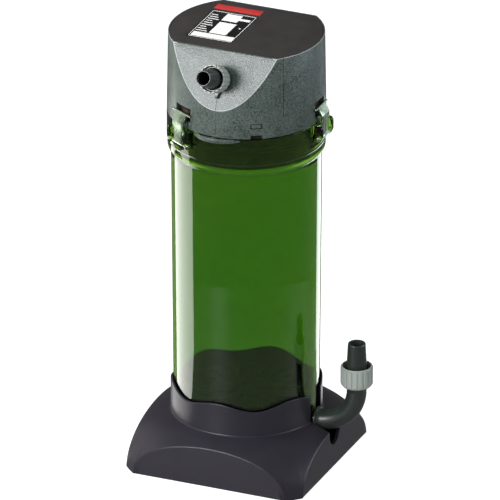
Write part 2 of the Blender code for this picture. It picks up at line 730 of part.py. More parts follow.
def make_top_cover(parent, cover_finish, label_finish):
    low = HEAD_TOP - COVER_DEPTH
    cover = prism(head_outline(COVER_INSET + GAP), low, HEAD_TOP)
    half_x, half_y = LABEL_SIZE[0] / 2, LABEL_SIZE[1] / 2
    x, y = LABEL_CENTRE
    pocket = box(
        (x - half_x - GAP, y - half_y - GAP, HEAD_TOP - LABEL_THICK - GAP),
        (x + half_x + GAP, y + half_y + GAP, HEAD_TOP + PAST),
    )
    piece("top_cover", cut(cover, pocket), cover_finish, parent)
    label = box((x - half_x, y - half_y, HEAD_TOP - LABEL_THICK), (x + half_x, y + half_y, HEAD_TOP))
    piece("label_plate", label, label_finish, parent)


# Pump ---------------------------------------------------------------------------------------

def make_pump_body(parent, finish):
    """The plug that closes the canister and carries the rotor's well."""
    outline = [
        (PLUG_INNER_R, SKIRT_LOW), (PLUG_R, SKIRT_LOW), (PLUG_R, GROOVE_LOW), (GROOVE_R, GROOVE_LOW),
        (GROOVE_R, GROOVE_HIGH), (PLUG_R, GROOVE_HIGH), (PLUG_R, PLUG_TOP), (BODY_R, PLUG_TOP),
        (BODY_R, BODY_RIM), (BODY_R - BODY_WALL, BODY_RIM), (BODY_R - BODY_WALL, PLUG_TOP),
        (WELL_WALL_R, PLUG_TOP), (WELL_WALL_R, WELL_CAP), (0, WELL_CAP), (0, WELL_TOP),
        (WELL_R, WELL_TOP), (WELL_R, PLUG_FLOOR), (CHAMBER_R, PLUG_FLOOR), (CHAMBER_R, PLUG_LOW),
        (CHAMBER_WALL_R, PLUG_LOW), (CHAMBER_WALL_R, PLUG_FLOOR), (PLUG_INNER_R, PLUG_FLOOR),
    ]
    tabs = [
        radial_block(a, WINDOW_HALF - GAP, WINDOW_LOW + GAP, WINDOW_HIGH - GAP,
                     BODY_R - PAST, HEAD_LOW_R - GAP * 2)
        for a in WINDOW_ANGLES
    ]
    port = moved(ring(0, PORT_R, PLUG_FLOOR - REACH, PLUG_TOP + REACH, PIN_ROUND), offset=(0, PORT_Y, 0))
    return piece("pump_body", cut(joined(turned(outline), *tabs), port), finish, parent)


def make_pump_cover(parent, finish):
    """The plate under the impeller, with the eye and a three-armed bearing hub."""
    plate = ring(EYE_R, CHAMBER_WALL_R, COVER_LOW, COVER_HIGH)
    hub = ring(0, HUB_R, COVER_LOW - HUB_DROP, COVER_HIGH, PIN_ROUND)
    arms = [
        moved(box((HUB_R - PAST, -ARM_HALF, COVER_LOW + GAP),
                  (EYE_R + PAST, ARM_HALF, COVER_HIGH - GAP)), turn=math.tau * step / 3)
        for step in range(3)
    ]
    seat = ring(0, BUSH_SEAT_R, COVER_LOW, COVER_HIGH + PAST, PIN_ROUND)
    return piece("pump_cover", cut(joined(plate, hub, *arms), seat), finish, parent)


def make_rotor(parent, magnet_finish, impeller_finish):
    axis = empty("rotor_axis", parent)
    magnet = ring(RUNNING_BORE_R, MAGNET_R, MAGNET_LOW, MAGNET_HIGH, SMALL_ROUND)
    piece("rotor_magnet", magnet, magnet_finish, axis)
    hub_top = MAGNET_LOW - GAP
    wheel = turned([
        (0, BLADE_LOW), (WHEEL_HUB_R, BLADE_LOW), (WHEEL_HUB_R, BLADE_HIGH), (IMPELLER_R, BLADE_HIGH),
        (IMPELLER_R, DISC_HIGH), (SLEEVE_R, DISC_HIGH), (SLEEVE_R, hub_top), (0, hub_top),
    ], WHEEL_ROUND)
    reach = IMPELLER_R - BLADE_LAP
    blades = [
        moved(box((-reach, -BLADE_THICK / 2, BLADE_LOW + GAP),
                  (reach, BLADE_THICK / 2, BLADE_HIGH + BLADE_LAP)), turn=math.pi * step / 3)
        for step in range(3)
    ]
    bore = ring(0, RUNNING_BORE_R, BLADE_LOW - REACH, MAGNET_HIGH + REACH, SMALL_ROUND)
    piece("impeller", cut(joined(wheel, *blades), bore), impeller_finish, axis)


def make_shaft(parent, shaft_finish, bush_finish):
    piece("impeller_shaft", ring(0, SHAFT_R, SHAFT_LOW, SHAFT_HIGH, SMALL_ROUND), shaft_finish, parent)
    hold = SHAFT_R + GAP
    upper = ring(hold, UPPER_BUSH_R, MAGNET_HIGH + PAST, WELL_TOP - GAP, SMALL_ROUND)
    lower = ring(hold, LOWER_BUSH_R, COVER_LOW + GAP, COVER_HIGH + HUB_DROP, SMALL_ROUND)
    piece("shaft_bush_upper", upper, bush_finish, parent)
    piece("shaft_bush_lower", lower, bush_finish, parent)


def make_stator(parent, iron, winding):
    """A U-shaped iron core round the rotor's well, with a coil on each leg."""
    core = box((-CORE_HALF, CORE_FRONT, CORE_LOW), (CORE_HALF, CORE_BACK, CORE_HIGH))
    low, high = CORE_LOW - PAST, CORE_HIGH + PAST
    bore = ring(0, CORE_BORE_R, low, high, WHEEL_ROUND)
    window = box((-LEG_INNER, CORE_WINDOW, low), (LEG_INNER, COIL_BACK + GAP * 2, high))
    slit = box((-CORE_SLIT_HALF, CORE_FRONT - PAST, low), (CORE_SLIT_HALF, 0, high))
    piece("stator_core", cut(core, bore, window, slit), iron, parent)
    for number, side in enumerate((-1, 1), start=1):
        low_x, high_x = sorted((side * LEG_INNER, side * CORE_HALF))
        outer = box((low_x - COIL_WALL, COIL_FRONT, CORE_LOW - COIL_WALL),
                    (high_x + COIL_WALL, COIL_BACK, CORE_HIGH + COIL_WALL))
        hole = box((low_x - GAP, COIL_FRONT - PAST, CORE_LOW - GAP),
                   (high_x + GAP, COIL_BACK + PAST, CORE_HIGH + GAP))
        piece(f"stator_coil_{number}", cut(outer, hole), winding, parent)


def make_seal(parent, finish):
    middle = (GROOVE_LOW + GROOVE_HIGH) / 2
    piece("head_seal", torus(SEAL_R, SEAL_THICK_R), finish, parent, (0, 0, middle))


# Outlet -------------------------------------------------------------------------------------

def outlet_frame_matrix():
    turn = Matrix.Rotation(math.pi / 2 - FLAT_TILT, 4, "X")
    return Matrix.Translation((0, OUTLET_Y, OUTLET_Z)) @ turn


def gland_frame_matrix():
    turn = Matrix.Rotation(-(math.pi / 2 - FLAT_TILT), 4, "X")
    depth = BACK_FLAT_Y + (HEAD_TOP - OUTLET_Z) * math.tan(FLAT_TILT)
    return Matrix.Translation((0, depth, OUTLET_Z)) @ turn


def ribbed_outline(radius):
    """A circle with shallow ribs."""
    points = []
    for rib in range(NUT_RIBS):
        for share, drop in ((0.08, 0), (0.62, 0), (0.70, NUT_RIB_DEPTH), (1.0, NUT_RIB_DEPTH)):
            angle = math.tau * (rib + share) / NUT_RIBS
            reach = radius - drop
            points.append((reach * math.cos(angle), reach * math.sin(angle)))
    return points


def nut_mesh(radius, bore_r, mouth_r, length):
    """A ribbed union nut: threaded bore below, wide mouth above, z = 0 at its lower end."""
    grip = prism(ribbed_outline(radius), -PAST, length - NUT_RIM)
    shoulder = length * NUT_SHOULDER
    wide, high = radius + PAST, length + PAST
    blank = turned([
        (0, 0), (wide - NUT_CHAMFER, 0), (wide, NUT_CHAMFER), (wide, high), (0, high),
    ], SMALL_ROUND)
    rim = ring(0, radius - NUT_RIB_DEPTH - RIM_INSET, shoulder, length, NUT_RIBS * 2)
    hollow = turned([
        (0, -PAST), (bore_r, -PAST), (bore_r, shoulder), (mouth_r, shoulder), (mouth_r, high), (0, high),
    ], SMALL_ROUND)
    return cut(joined(common(grip, blank), rim), hollow)


def grip_ring_mesh(bore_r, outer_r, length):
    """A split ring that closes on the hose as the nut is tightened."""
    slit = box((0, -SLIT_HALF, -PAST), (outer_r + PAST, SLIT_HALF, length + PAST))
    return cut(ring(bore_r, outer_r, 0, length, SMALL_ROUND), slit)


def make_outlet(parent, spigot_finish, nut_finish, duct_finish):
    frame = empty("outlet_axis", parent)
    frame.matrix_local = outlet_frame_matrix()
    thread_end = OUTLET_NUT_LOW + OUTLET_THREAD
    neck_r = (OUTLET_THREAD_R + OUTLET_SHANK_R) / 2 - GAP
    outline = [
        (OUTLET_BORE_R, -OUTLET_INNER), (OUTLET_SHANK_R, -OUTLET_INNER), (OUTLET_SHANK_R, GAP),
        (OUTLET_FLANGE_R, GAP), (OUTLET_FLANGE_R, OUTLET_FLANGE), (OUTLET_THREAD_R, OUTLET_FLANGE + GAP),
        (OUTLET_THREAD_R, thread_end), (neck_r, thread_end + GAP * 2),
        (OUTLET_TAIL_R, OUTLET_NUT_HIGH + PAST), (OUTLET_TIP_R + TIP_SWELL, OUTLET_LENGTH - OUTLET_TIP),
        (OUTLET_TIP_R, OUTLET_LENGTH), (OUTLET_BORE_R, OUTLET_LENGTH),
    ]
    key = [(-KEY_HALF, GAP), (KEY_HALF, GAP), (KEY_TOP_HALF, KEY_HIGH), (-KEY_TOP_HALF, KEY_HIGH)]
    spigot = joined(turned(outline, SMALL_ROUND), slab(key, KEY_FAR, KEY_NEAR))
    piece("outlet_spigot", spigot, spigot_finish, frame)
    length = OUTLET_NUT_HIGH - OUTLET_NUT_LOW
    nut = nut_mesh(OUTLET_NUT_R, OUTLET_NUT_BORE_R, OUTLET_MOUTH_R, length)
    grip = grip_ring_mesh(OUTLET_THREAD_R + GAP, OUTLET_MOUTH_R - GAP, OUTLET_GRIP)
    piece("outlet_grip_ring", grip, spigot_finish, frame, (0, 0, OUTLET_NUT_LOW + length * NUT_SHOULDER + GAP))
    piece("outlet_nut", nut, nut_finish, frame, (0, 0, OUTLET_NUT_LOW))
    piece("outlet_duct", duct_mesh(), duct_finish, parent)


def duct_mesh():
    """The bent pipe from the chamber's port to the outlet's shank."""
    start = Vector((0, PORT_Y, PLUG_TOP + GAP))
    end = outlet_frame_matrix() @ Vector((0, 0, -OUTLET_INNER - GAP * 3))
    normal = flat_normal(True)
    corner = end - normal * ((end.y - start.y) / normal.y)
    route = [start]
    for step in range(DUCT_STEPS + 1):
        share = DUCT_STRAIGHT + (1 - DUCT_STRAIGHT) * step / DUCT_STEPS
        route.append(start.lerp(corner, share).lerp(corner.lerp(end, share), share))
    ahead = (route[-1] - route[-2]).normalized()
    bore_route = [start - Vector((0, 0, REACH))] + route + [end + ahead * REACH]
    return cut(pipe(route, DUCT_R, 5), pipe(bore_route, DUCT_BORE_R, 4))


def make_gland(parent, finish):
    """The bush that the power lead would pass through."""
    frame = empty("gland_axis", parent)
    frame.matrix_local = gland_frame_matrix()
    outline = [
        (GLAND_BORE_R, -GLAND_INNER), (GLAND_NECK_R, -GLAND_INNER), (GLAND_NECK_R, GAP),
        (GLAND_FLANGE_R, GAP), (GLAND_FLANGE_R, GLAND_FLANGE), (GLAND_NECK_R + GAP, GLAND_FLANGE + PAST),
        (GLAND_TIP_R, GLAND_LENGTH), (GLAND_BORE_R, GLAND_LENGTH),
    ]
    piece("cord_gland", turned(outline, SMALL_ROUND), finish, frame)


# Inlet --------------------------------------------------------------------------------------

def elbow_route(start):
    """Centre line from the socket, round the bend and up the leg, in the elbow's frame."""
    leg = LEG_X - ELBOW_X
    bend = arc((leg - BEND_R, BEND_R), BEND_R, 270, 360, BEND_STEPS)
    return [(start, 0, 0)] + [(x, 0, z) for x, z in bend]


def make_inlet(parent, elbow_finish, nut_finish, rubber):
    axis = empty("elbow_axis", parent, (ELBOW_X, 0, INLET_Z))
    leg = LEG_X - ELBOW_X
    nut_low, nut_high = INLET_NUT_LOW - INLET_Z, INLET_NUT_HIGH - INLET_Z
    tip = INLET_TIP_Z - INLET_Z
    thread_top = nut_low + INLET_THREAD
    bend = pipe(elbow_route(GAP) + [(leg, 0, nut_low + GAP)], PIPE_R, 7)
    root = turned([
        (0, -PLUG_IN), (PLUG_IN_R, -PLUG_IN), (PLUG_IN_R, -GROOVE_FAR), (RING_GROOVE_R, -GROOVE_FAR),
        (RING_GROOVE_R, -GROOVE_NEAR), (PLUG_IN_R, -GROOVE_NEAR), (PLUG_IN_R, 0), (ELBOW_FLANGE_R, 0),
        (ELBOW_FLANGE_R, ELBOW_FLANGE), (PIPE_R + GAP * 2, ELBOW_FLANGE + GAP),
        (PIPE_R + GAP, ROOT_LENGTH), (0, ROOT_LENGTH),
    ], SMALL_ROUND)
    moved(root, turn=math.pi / 2, axis="Y")
    top = turned([
        (0, nut_low - THREAD_RUN_IN * 2), (PIPE_R + GAP, nut_low - THREAD_RUN_IN * 2),
        (INLET_THREAD_R, nut_low - THREAD_RUN_IN), (INLET_THREAD_R, thread_top),
        (INLET_TAIL_R + GAP / 2, thread_top + GAP * 3), (INLET_TAIL_R, nut_high + PAST),
        (INLET_TIP_R, tip - GAP * 2), (INLET_TIP_R - GAP, tip), (0, tip),
    ], SMALL_ROUND)
    moved(top, offset=(leg, 0, 0))
    passage = pipe(elbow_route(-PLUG_IN - REACH) + [(leg, 0, tip + REACH)], ELBOW_BORE_R, 4)
    throat = moved(ring(0, INLET_BORE_R, nut_high - THROAT_DEEP, tip + REACH, SMALL_ROUND), offset=(leg, 0, 0))
    elbow = cut(joined(bend, root, top), passage, throat)
    piece("inlet_elbow", elbow, elbow_finish, axis)

    seal = moved(torus(RING_R, RING_THICK_R, SMALL_ROUND), turn=math.pi / 2, axis="Y")
    piece("inlet_o_ring", seal, rubber, axis, (-(GROOVE_FAR + GROOVE_NEAR) / 2, 0, 0))
    nut_axis = empty("inlet_nut_axis", axis, (leg, 0, nut_low))
    length = nut_high - nut_low
    nut = nut_mesh(INLET_NUT_R, INLET_NUT_BORE_R, INLET_MOUTH_R, length)
    piece("inlet_nut", nut, nut_finish, nut_axis)
    grip = grip_ring_mesh(INLET_THREAD_R, INLET_MOUTH_R - GAP, INLET_GRIP)
    piece("inlet_grip_ring", grip, elbow_finish, nut_axis, (0, 0, length * NUT_SHOULDER + GAP * 5))


def main():
    clear_scene()
    charcoal = material("charcoal_plastic", (0.028, 0.026, 0.034), 0.42)
    green = material("green_clear_plastic", (0.06, 0.22, 0.03), 0.06, alpha=0.5)
    dark = material("dark_plastic", (0.035, 0.04, 0.036), 0.45)
    steel = material("clip_steel", (0.62, 0.64, 0.60), 0.22, 1.0)
    head = material("head_plastic", (0.09, 0.105, 0.095), 0.4)
    cover = material("cover_plastic", (0.045, 0.04, 0.038), 0.5)
    label = material("label_foil", (0.01, 0.01, 0.01), 0.3)
    nut = material("nut_plastic", (0.26, 0.29, 0.26), 0.4)
    rubber = material("seal_rubber", (0.015, 0.015, 0.015), 0.7)
    iron = material("core_iron", (0.25, 0.25, 0.26), 0.45, 1.0)
    copper = material("coil_winding", (0.45, 0.17, 0.06), 0.35, 0.6)
    magnet = material("magnet_ferrite", (0.05, 0.05, 0.055), 0.5, 0.3)
    white = material("impeller_plastic", (0.5, 0.5, 0.48), 0.35)
    ceramic = material("shaft_ceramic", (0.75, 0.73, 0.68), 0.2)

    root = empty("canister_axis", location=(AXIS_X, AXIS_Y, 0))
    make_foot(root, charcoal)
    make_canister(root, green)
    make_grilles(root, dark)
    make_clips(root, steel)
    make_head_shell(root, head)
    make_top_cover(root, cover, label)
    make_pump_body(root, dark)
    make_pump_cover(root, dark)
    make_rotor(root, magnet, white)
    make_shaft(root, ceramic, rubber)
    make_stator(root, iron, copper)
    make_seal(root, rubber)
    make_outlet(root, dark, nut, dark)
    make_gland(root, rubber)
    make_inlet(root, dark, nut, rubber)


main()
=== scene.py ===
import json
import math

import bmesh
import bpy
from mathutils import Matrix, Vector


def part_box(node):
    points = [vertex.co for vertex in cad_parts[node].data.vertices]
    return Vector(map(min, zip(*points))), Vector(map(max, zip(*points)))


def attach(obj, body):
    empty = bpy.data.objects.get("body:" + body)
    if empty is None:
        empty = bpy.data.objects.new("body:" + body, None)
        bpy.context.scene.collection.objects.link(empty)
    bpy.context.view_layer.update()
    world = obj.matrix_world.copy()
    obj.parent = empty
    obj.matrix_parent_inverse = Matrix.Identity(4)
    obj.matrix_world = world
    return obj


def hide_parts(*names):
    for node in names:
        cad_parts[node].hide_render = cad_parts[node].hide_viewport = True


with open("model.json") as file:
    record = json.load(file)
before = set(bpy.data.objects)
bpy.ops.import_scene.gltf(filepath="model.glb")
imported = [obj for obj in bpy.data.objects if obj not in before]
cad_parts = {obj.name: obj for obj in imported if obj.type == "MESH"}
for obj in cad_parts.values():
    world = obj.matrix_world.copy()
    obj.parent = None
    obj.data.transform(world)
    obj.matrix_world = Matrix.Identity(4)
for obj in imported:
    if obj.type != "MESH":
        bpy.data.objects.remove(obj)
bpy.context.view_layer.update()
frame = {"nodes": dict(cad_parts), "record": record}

MM = 0.001


def mm(*values):
    return [value * MM for value in values]


GAP = 0.3 * MM
WELD = 0.001 * MM
FINE = 192  # sides of the large round pieces
ROUND = 96  # sides of the hose fittings
SMALL = 32  # sides of pins and bars
SHARP, BLUNT = 50.0, 60.0  # degrees; an edge that turns more is rounded
CORNER_SHARE = 0.49  # of a side, for one rounded corner
TINY, FINER, SOFT, MILD, FULL = mm(0.2, 0.3, 0.4, 0.5, 1.0)  # roundings
PAST = 2 * MM  # cutters go this far past a face
REACH = 5 * MM  # and this far past a wall
THROUGH = 20 * MM  # half length of the cutters for round holes
QUARTER = math.pi / 2

JOINTS = {joint["name"]: joint for joint in frame["record"]["behaviour"]["joints"]}
MOUNTS = {mount["name"]: mount for mount in frame["record"]["mounts"]}
AXIS = Vector(JOINTS["rotor_spin"]["pos_m"])
AXIS.z = 0


def low(node):
    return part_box(node)[0] - AXIS


def high(node):
    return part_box(node)[1] - AXIS


# Foot
FOOT_HALF = -low("foot_base").x
FOOT_WALL = 2.4 * MM
FOOT_SIDES = 360
FOOT_RIM = 0.4 * MM
DOME_BASE_R, DOME_FLAT_R, DOME_HEIGHT = mm(88.8, 30.0, 38.0)
DOME_STEPS = 22
EDGE_SOFT = 1.1 * MM  # rounding where the dome meets a side
EDGE_SHARE = 0.4
EDGE_LEAST, EDGE_LIFT = mm(0.05, 0.1)
UNDER_DROP = 0.5 * MM  # the hollow's own dome lies lower
UNDER_LEAST = 0.02 * MM
UNDER_STEPS = 12
COLLAR_R, COLLAR_BORE_R, COLLAR_WAVE = mm(53.4, 51.75, 2.4)
COLLAR_WAVES = 6
COLLAR_TOP = high("foot_base").z - COLLAR_WAVE
COLLAR_LIP, COLLAR_ROOT = mm(0.8, 1.8)
ROOT_RISE = 0.3 * MM
SHELF_R, SHELF_LOW, SHELF_HIGH = mm(38.0, 17.2, 19.7)
NOTCH_HALF, NOTCH_LOW, NOTCH_TOP, NOTCH_NEAR = mm(9.2, 17.0, 70, 50)
NOTCH_FAR = 80 * MM

# Clips
CLIP_ANGLES = (-30.0, 90.0, 210.0)
PIN_R = 0.95 * MM
PIN_Z = JOINTS["clip_1_hinge"]["pos_m"][2]
PIN_AXIS_R = (Vector(JOINTS["clip_1_hinge"]["pos_m"]) - AXIS).xy.length
PIN_HALF, PIN_HEAD_R, PIN_HEAD = mm(11.4, 1.5, 0.8)
CLIP_HALF, CLIP_FOOT_HALF, CLIP_SHEET, CLIP_FACE = mm(6.1, 3.2, 0.8, 1.3)
CLIP_HEEL, CLIP_TOP = mm(1.5, 16.0)
CLIP_LIP = mm(-2.4, 21.4)
CLIP_BENDS = mm(0.9, 0.6)
CLIP_WAIST = CLIP_TOP - 3 * MM
CLIP_WAIST_R = 2 * MM
CLIP_TAPER = mm(-3, 30)
CLIP_FLARE, CLIP_SOFT, CLIP_BARREL_R, CLIP_BARREL_HALF = mm(0.4, 0.14, 2.0, 5.6)
CLIP_PLAY, CLIP_BAR_HALF, CLIP_BAR_R = mm(0.09, 10.2, 0.75)
CLIP_BAR_END = 0.35  # rounding of the bar's ends, of its radius
FLANK_LOWS = mm(9.5, 7.0)
FLANK_SIDES = mm(1.0, 0.15)  # in from the sheet's edge
FLANK_SOFT = 0.8 * MM
TONGUE_IN, TONGUE_HALF = mm(5.4, 3.6)
TONGUE_DROPS = mm(1.1, 0.3)

# Canister
CAN_LOW = low("canister").z
CAN_RIM = high("canister").z
CAN_FOOT_R, CAN_NECK_R, CAN_WALL, CAN_COLLAR_R = mm(51.2, 52.8, 2.2, 55.7)
CAN_COLLAR_BORE_R = 53.3 * MM
CAN_BAND_R = CAN_COLLAR_R - 0.5 * MM
CAN_CONE_R = CAN_COLLAR_R - 0.9 * MM
CAN_STEP_R = CAN_COLLAR_BORE_R - 0.9 * MM
CAN_NECK_Z, CAN_SHOULDER_Z, CAN_CONE_Z, CAN_BAND_LOW = mm(232.0, 235.0, 236.8, 238.2)
CAN_BAND_HIGH, CAN_LINE_Z = mm(243.6, 244.4)
CAN_STEP_Z = low("upper_grille").z - GAP
CAN_STEP_DROP, CAN_FLOOR_SOFT, CAN_FLOOR_SOFT_IN, CAN_NECK_SOFT = mm(2.4, 3.5, 2.6, 3.0)
CAN_SHOULDER_SOFT, CAN_CONE_SOFT = mm(0.8, 0.6)
EAR_INNER, EAR_OUTER = mm(7.6, 10.6)
EAR_REACH = 2.7 * MM  # past the pin's axis
EAR_HEEL, EAR_DROP = mm(0.8, 3.0)
EAR_ROOT_R = CAN_COLLAR_R - 1.2 * MM
EAR_HEEL_SOFT, EAR_TOP_SOFT, EAR_SOFT = mm(0.6, 3.0, 0.35)
INLET_Z = JOINTS["elbow_swivel"]["pos_m"][2]
SOCKET_R, SOCKET_BORE_R, SOCKET_IN_X, SOCKET_OUT_X = mm(8.4, 6.5, 44.0, 53.6)
SOCKET_CUT = mm(40, 60)

# Head
HEAD_LOW = 264.5 * MM
HEAD_TOP = high("head_shell").z
HEAD_LOW_R, HEAD_TOP_R, HEAD_WALL = mm(55.65, 54.7, 2.6)
HEAD_SOFT, HEAD_SHARP = 0.7 * MM, 15.0
FLAT_NORMAL = Vector(MOUNTS["outlet_hose_end"]["axis"])
BACK_NORMAL = Vector(MOUNTS["power_lead_entry"]["axis"])
FRONT_FLAT_Y = -38.4 * MM
BACK_FLAT_Y = 42.0 * MM
FLAT_BLOCK = mm(80, 50)
PLAN_STEPS = 48
SLOT_HALF, SLOT_LOW, SLOT_HIGH = mm(8.0, 268.6, 280.0)
WINDOWS = (30.0, 150.0, 270.0)
WINDOW_HALF, WINDOW_LOW, WINDOW_HIGH = mm(4.15, 272.0, 276.0)
NOTCH_HIGH = 267.3 * MM
OPENING_IN, OPENING_OUT, OPENING_DOWN = mm(8, 3, 4)
OUTLET_HOLE_R = 7.6 * MM
GLAND_HOLE_R = 5.3 * MM
TAB_SHY = GAP * 0.8
LEDGE_ANGLE = math.radians(18.5)
LEDGE_REACH = 6.0 * MM
LEDGE_LOW = low("head_shell").z
LEDGE_HIGH, LEDGE_ROOT = mm(265.4, 1.2)
LEDGE_ROOT_SHORT = 2.0  # degrees
LEDGE_STEPS = 48
SCOOP_WIDER, SCOOP_BACK, SCOOP_DEPTH = mm(6, 7.4, 1.7)
SCOOP_STEPS = 95
SEAM_SIDE = 50.5  # degrees from the front
SEAM_DEPTH = 0.3 * MM
SEAM_HALF = SEAM_DEPTH * 0.7
SEAM_ON_FLAT = mm(-24, -13.9)
SEAM_START = 14 * MM
FLAT_LOW = 286.0 * MM  # just above the flat's lowest point
EDGE_REACH = 1.6 * MM  # the painted edge highlight lies this near the rim
RIM_TILT = (0.25, 0.97)  # upward part of a rim edge's normal
FLAT_TURN = 0.995  # a face nearer to the flat's direction is the flat itself
LEAST_RISE = 0.06

# Cover and label
COVER_INSET, COVER_DEPTH, COVER_SOFT = mm(1.0, 2.2, 0.35)
BAR_BACK = mm(2.6, 11.0)  # behind the label
BAR_LEFT, BAR_DEPTH, BAR_SHY, BAR_SIDE_GAP = mm(1, 0.4, 0.06, 0.15)
BAR_SOFT = 0.08 * MM
LABEL_SHY, LABEL_SOFT = mm(0.10, 0.15)
INK_IN, INK_OUT = mm(0.02, 0.04)
FRAME_X, FRAME_Y, FRAME_LINE = 0.02, 0.015, 0.012  # shares of the label
LABEL_FIELDS = (  # left, front, right, back as shares of the label
    (0.06, 0.045, 0.975, 0.19), (0.37, 0.22, 0.74, 0.635), (0.36, 0.70, 0.70, 0.945),
    (0.70, 0.78, 0.93, 0.85), (0.86, 0.50, 0.90, 0.53),
)
DASHES = 9
DASH_LEFT, DASH_RIGHT, DASH_SHORTER = 0.06, 0.30, 0.05
DASH_START, DASH_PITCH, DASH_LINE = 0.24, 0.075, 0.022

# Union nuts and grip rings
NUT_RIBS = 18
NUT_RIB_DEPTH = 0.65 * MM
RIB_SHAPE = ((0.06, 0.1), (0.12, 0), (0.58, 0), (0.64, 0.1), (0.70, 0.9), (0.76, 1), (0.94, 1), (1.0, 0.9))
NUT_CONE, NUT_CONE_HIGH, NUT_CONE_SOFT, NUT_SKIN = mm(1.6, 2.0, 0.7, 0.01)
NUT_RIM, NUT_RIM_IN = mm(1.0, 0.1)
NUT_SHOULDER = 0.4  # height of the threaded part, of the nut's length
NUT_THREADS = 4
NUT_THREAD_DEPTH = 0.35 * MM
NUT_THREAD_PARTS = (0.2, 0.5, 0.8)  # start, root and end of a ridge, of the pitch
THREAD_DEPTH, THREAD_RIDGE = mm(0.45, 1.0)
RING_SLIT_HALF = 1.0 * MM

# Outlet, along its own axis from the front flat
OUTLET_Z, OUTLET_LENGTH, OUTLET_IN, OUTLET_BORE_R = mm(304.5, 33.0, 9, 4.7)
OUTLET_SHANK_R, OUTLET_TAIL_R, OUTLET_TIP_R, OUTLET_FLANGE_R = mm(6.6, 7.0, 5.4, 8.8)
OUTLET_FLANGE, OUTLET_THREAD_R, OUTLET_THREAD_LOW, OUTLET_THREAD_HIGH = mm(3.4, 7.3, 5.0, 11.0)
OUTLET_PITCH, OUTLET_TURNS = 1.4 * MM, 4
OUTLET_NECK, OUTLET_SWELL, OUTLET_TIP, OUTLET_NUT_LOW = mm(0.6, 0.35, 3, 4.0)
OUTLET_NUT_HIGH, OUTLET_NUT_R, OUTLET_NUT_BORE_R, OUTLET_MOUTH_R = mm(18.3, 9.7, 7.6, 8.9)
OUTLET_RING_R, OUTLET_RING = mm(8.55, 5.0)
KEY_TIP, KEY_ROOT, KEY_HIGH = mm(0.5, 13.6), mm(2.5, 8.0), 3.2 * MM
GLAND_BORE_R, GLAND_IN_R, GLAND_IN, GLAND_FLANGE_R = mm(3.3, 5.0, 4, 7.2)
GLAND_FLANGE, GLAND_NECK_R, GLAND_NECK, GLAND_TIP_R = mm(2.0, 5.2, 3.0, 4.6)
GLAND_TIP = 7.5 * MM

# Inlet elbow, by distance along its centre line
ELBOW_X = JOINTS["elbow_swivel"]["pos_m"][0] - AXIS.x
LEG_X = JOINTS["inlet_nut_turn"]["pos_m"][0] - AXIS.x
LEG = LEG_X - ELBOW_X
BEND_R = 27.0 * MM
STRAIGHT = LEG - BEND_R
BEND = BEND_R * QUARTER
ELBOW_SIDES, BEND_STEPS = 72, 40
INLET_TIP_Z = MOUNTS["inlet_hose_end"]["pos_m"][2]
INLET_NUT_LOW = low("inlet_nut").z
INLET_NUT_HIGH = high("inlet_nut").z
PLUG_IN, PLUG_R = mm(9.3, 6.15)
GROOVE, GROOVE_R = mm(-6.6, -4.8), 4.95 * MM
PIPE_R, PIPE_BORE_R = mm(7.0, 4.4)
FLANGE_R, FLANGE, FLANGE_SOFT = mm(8.6, 1.3, 0.25)
NECK_START, NECK_END = mm(1.5, 3.6)
PIPE_START = 4.2 * MM
NECK_SOFT = 0.15 * MM
INLET_THREAD_R, INLET_THREAD_HIGH, INLET_THREAD_LOW = mm(8.0, 6.5, 0.6)
INLET_PITCH, INLET_TURNS = 1.5 * MM, 3
PIPE_STOP, CONE_START, CONE_RISE, CONE_END = 3.2 * MM, 2.5 * MM, 0.3 * MM, 1.2 * MM  # below the nut
TAIL_R, TAIL_ROOT, TAIL_ROOT_IN, TAIL_TIP_R = mm(7.1, 0.9, 0.1, 6.3)
TAIL_TIP, TAIL_BORE_R = mm(0.6, 4.9)
TAIL_BORE_DEPTHS = mm(4, 4.5, 6)
BORE_START = 8.5 * MM
INLET_NUT_R, INLET_NUT_BORE_R, INLET_MOUTH_R, INLET_RING_R = mm(11.45, 8.35, 9.9, 9.5)
INLET_RING = 5.5 * MM

# Materials
MOTTLE_SCALE, MOTTLE_DETAIL, MOTTLE, MOTTLE_TINT = 75.0, 1.5, 0.35, 1.12
FINE_DETAIL = 2.0
GRAIN_SHINE = (-0.06, 0.08)  # change of roughness over the grain
BROAD_SCALE, RIPPLE_SCALE, RIPPLE_DETAIL = 9.0, 26.0, 1.0
RIPPLE_ROUGH, RIPPLE_BUMP, RIPPLE_STRENGTH = 0.03, 0.05 * MM, 0.35
CLEAR_IOR = 1.49
MARK_SCALE, MARK_DETAIL, MARK_SHINE, MARK_BUMP = 400.0, 3.0, (-0.05, 0.1), 0.006 * MM
BAND_DISTORTION, BAND_SHINE, BAND_BUMP = 0.4, 0.1, 0.05 * MM

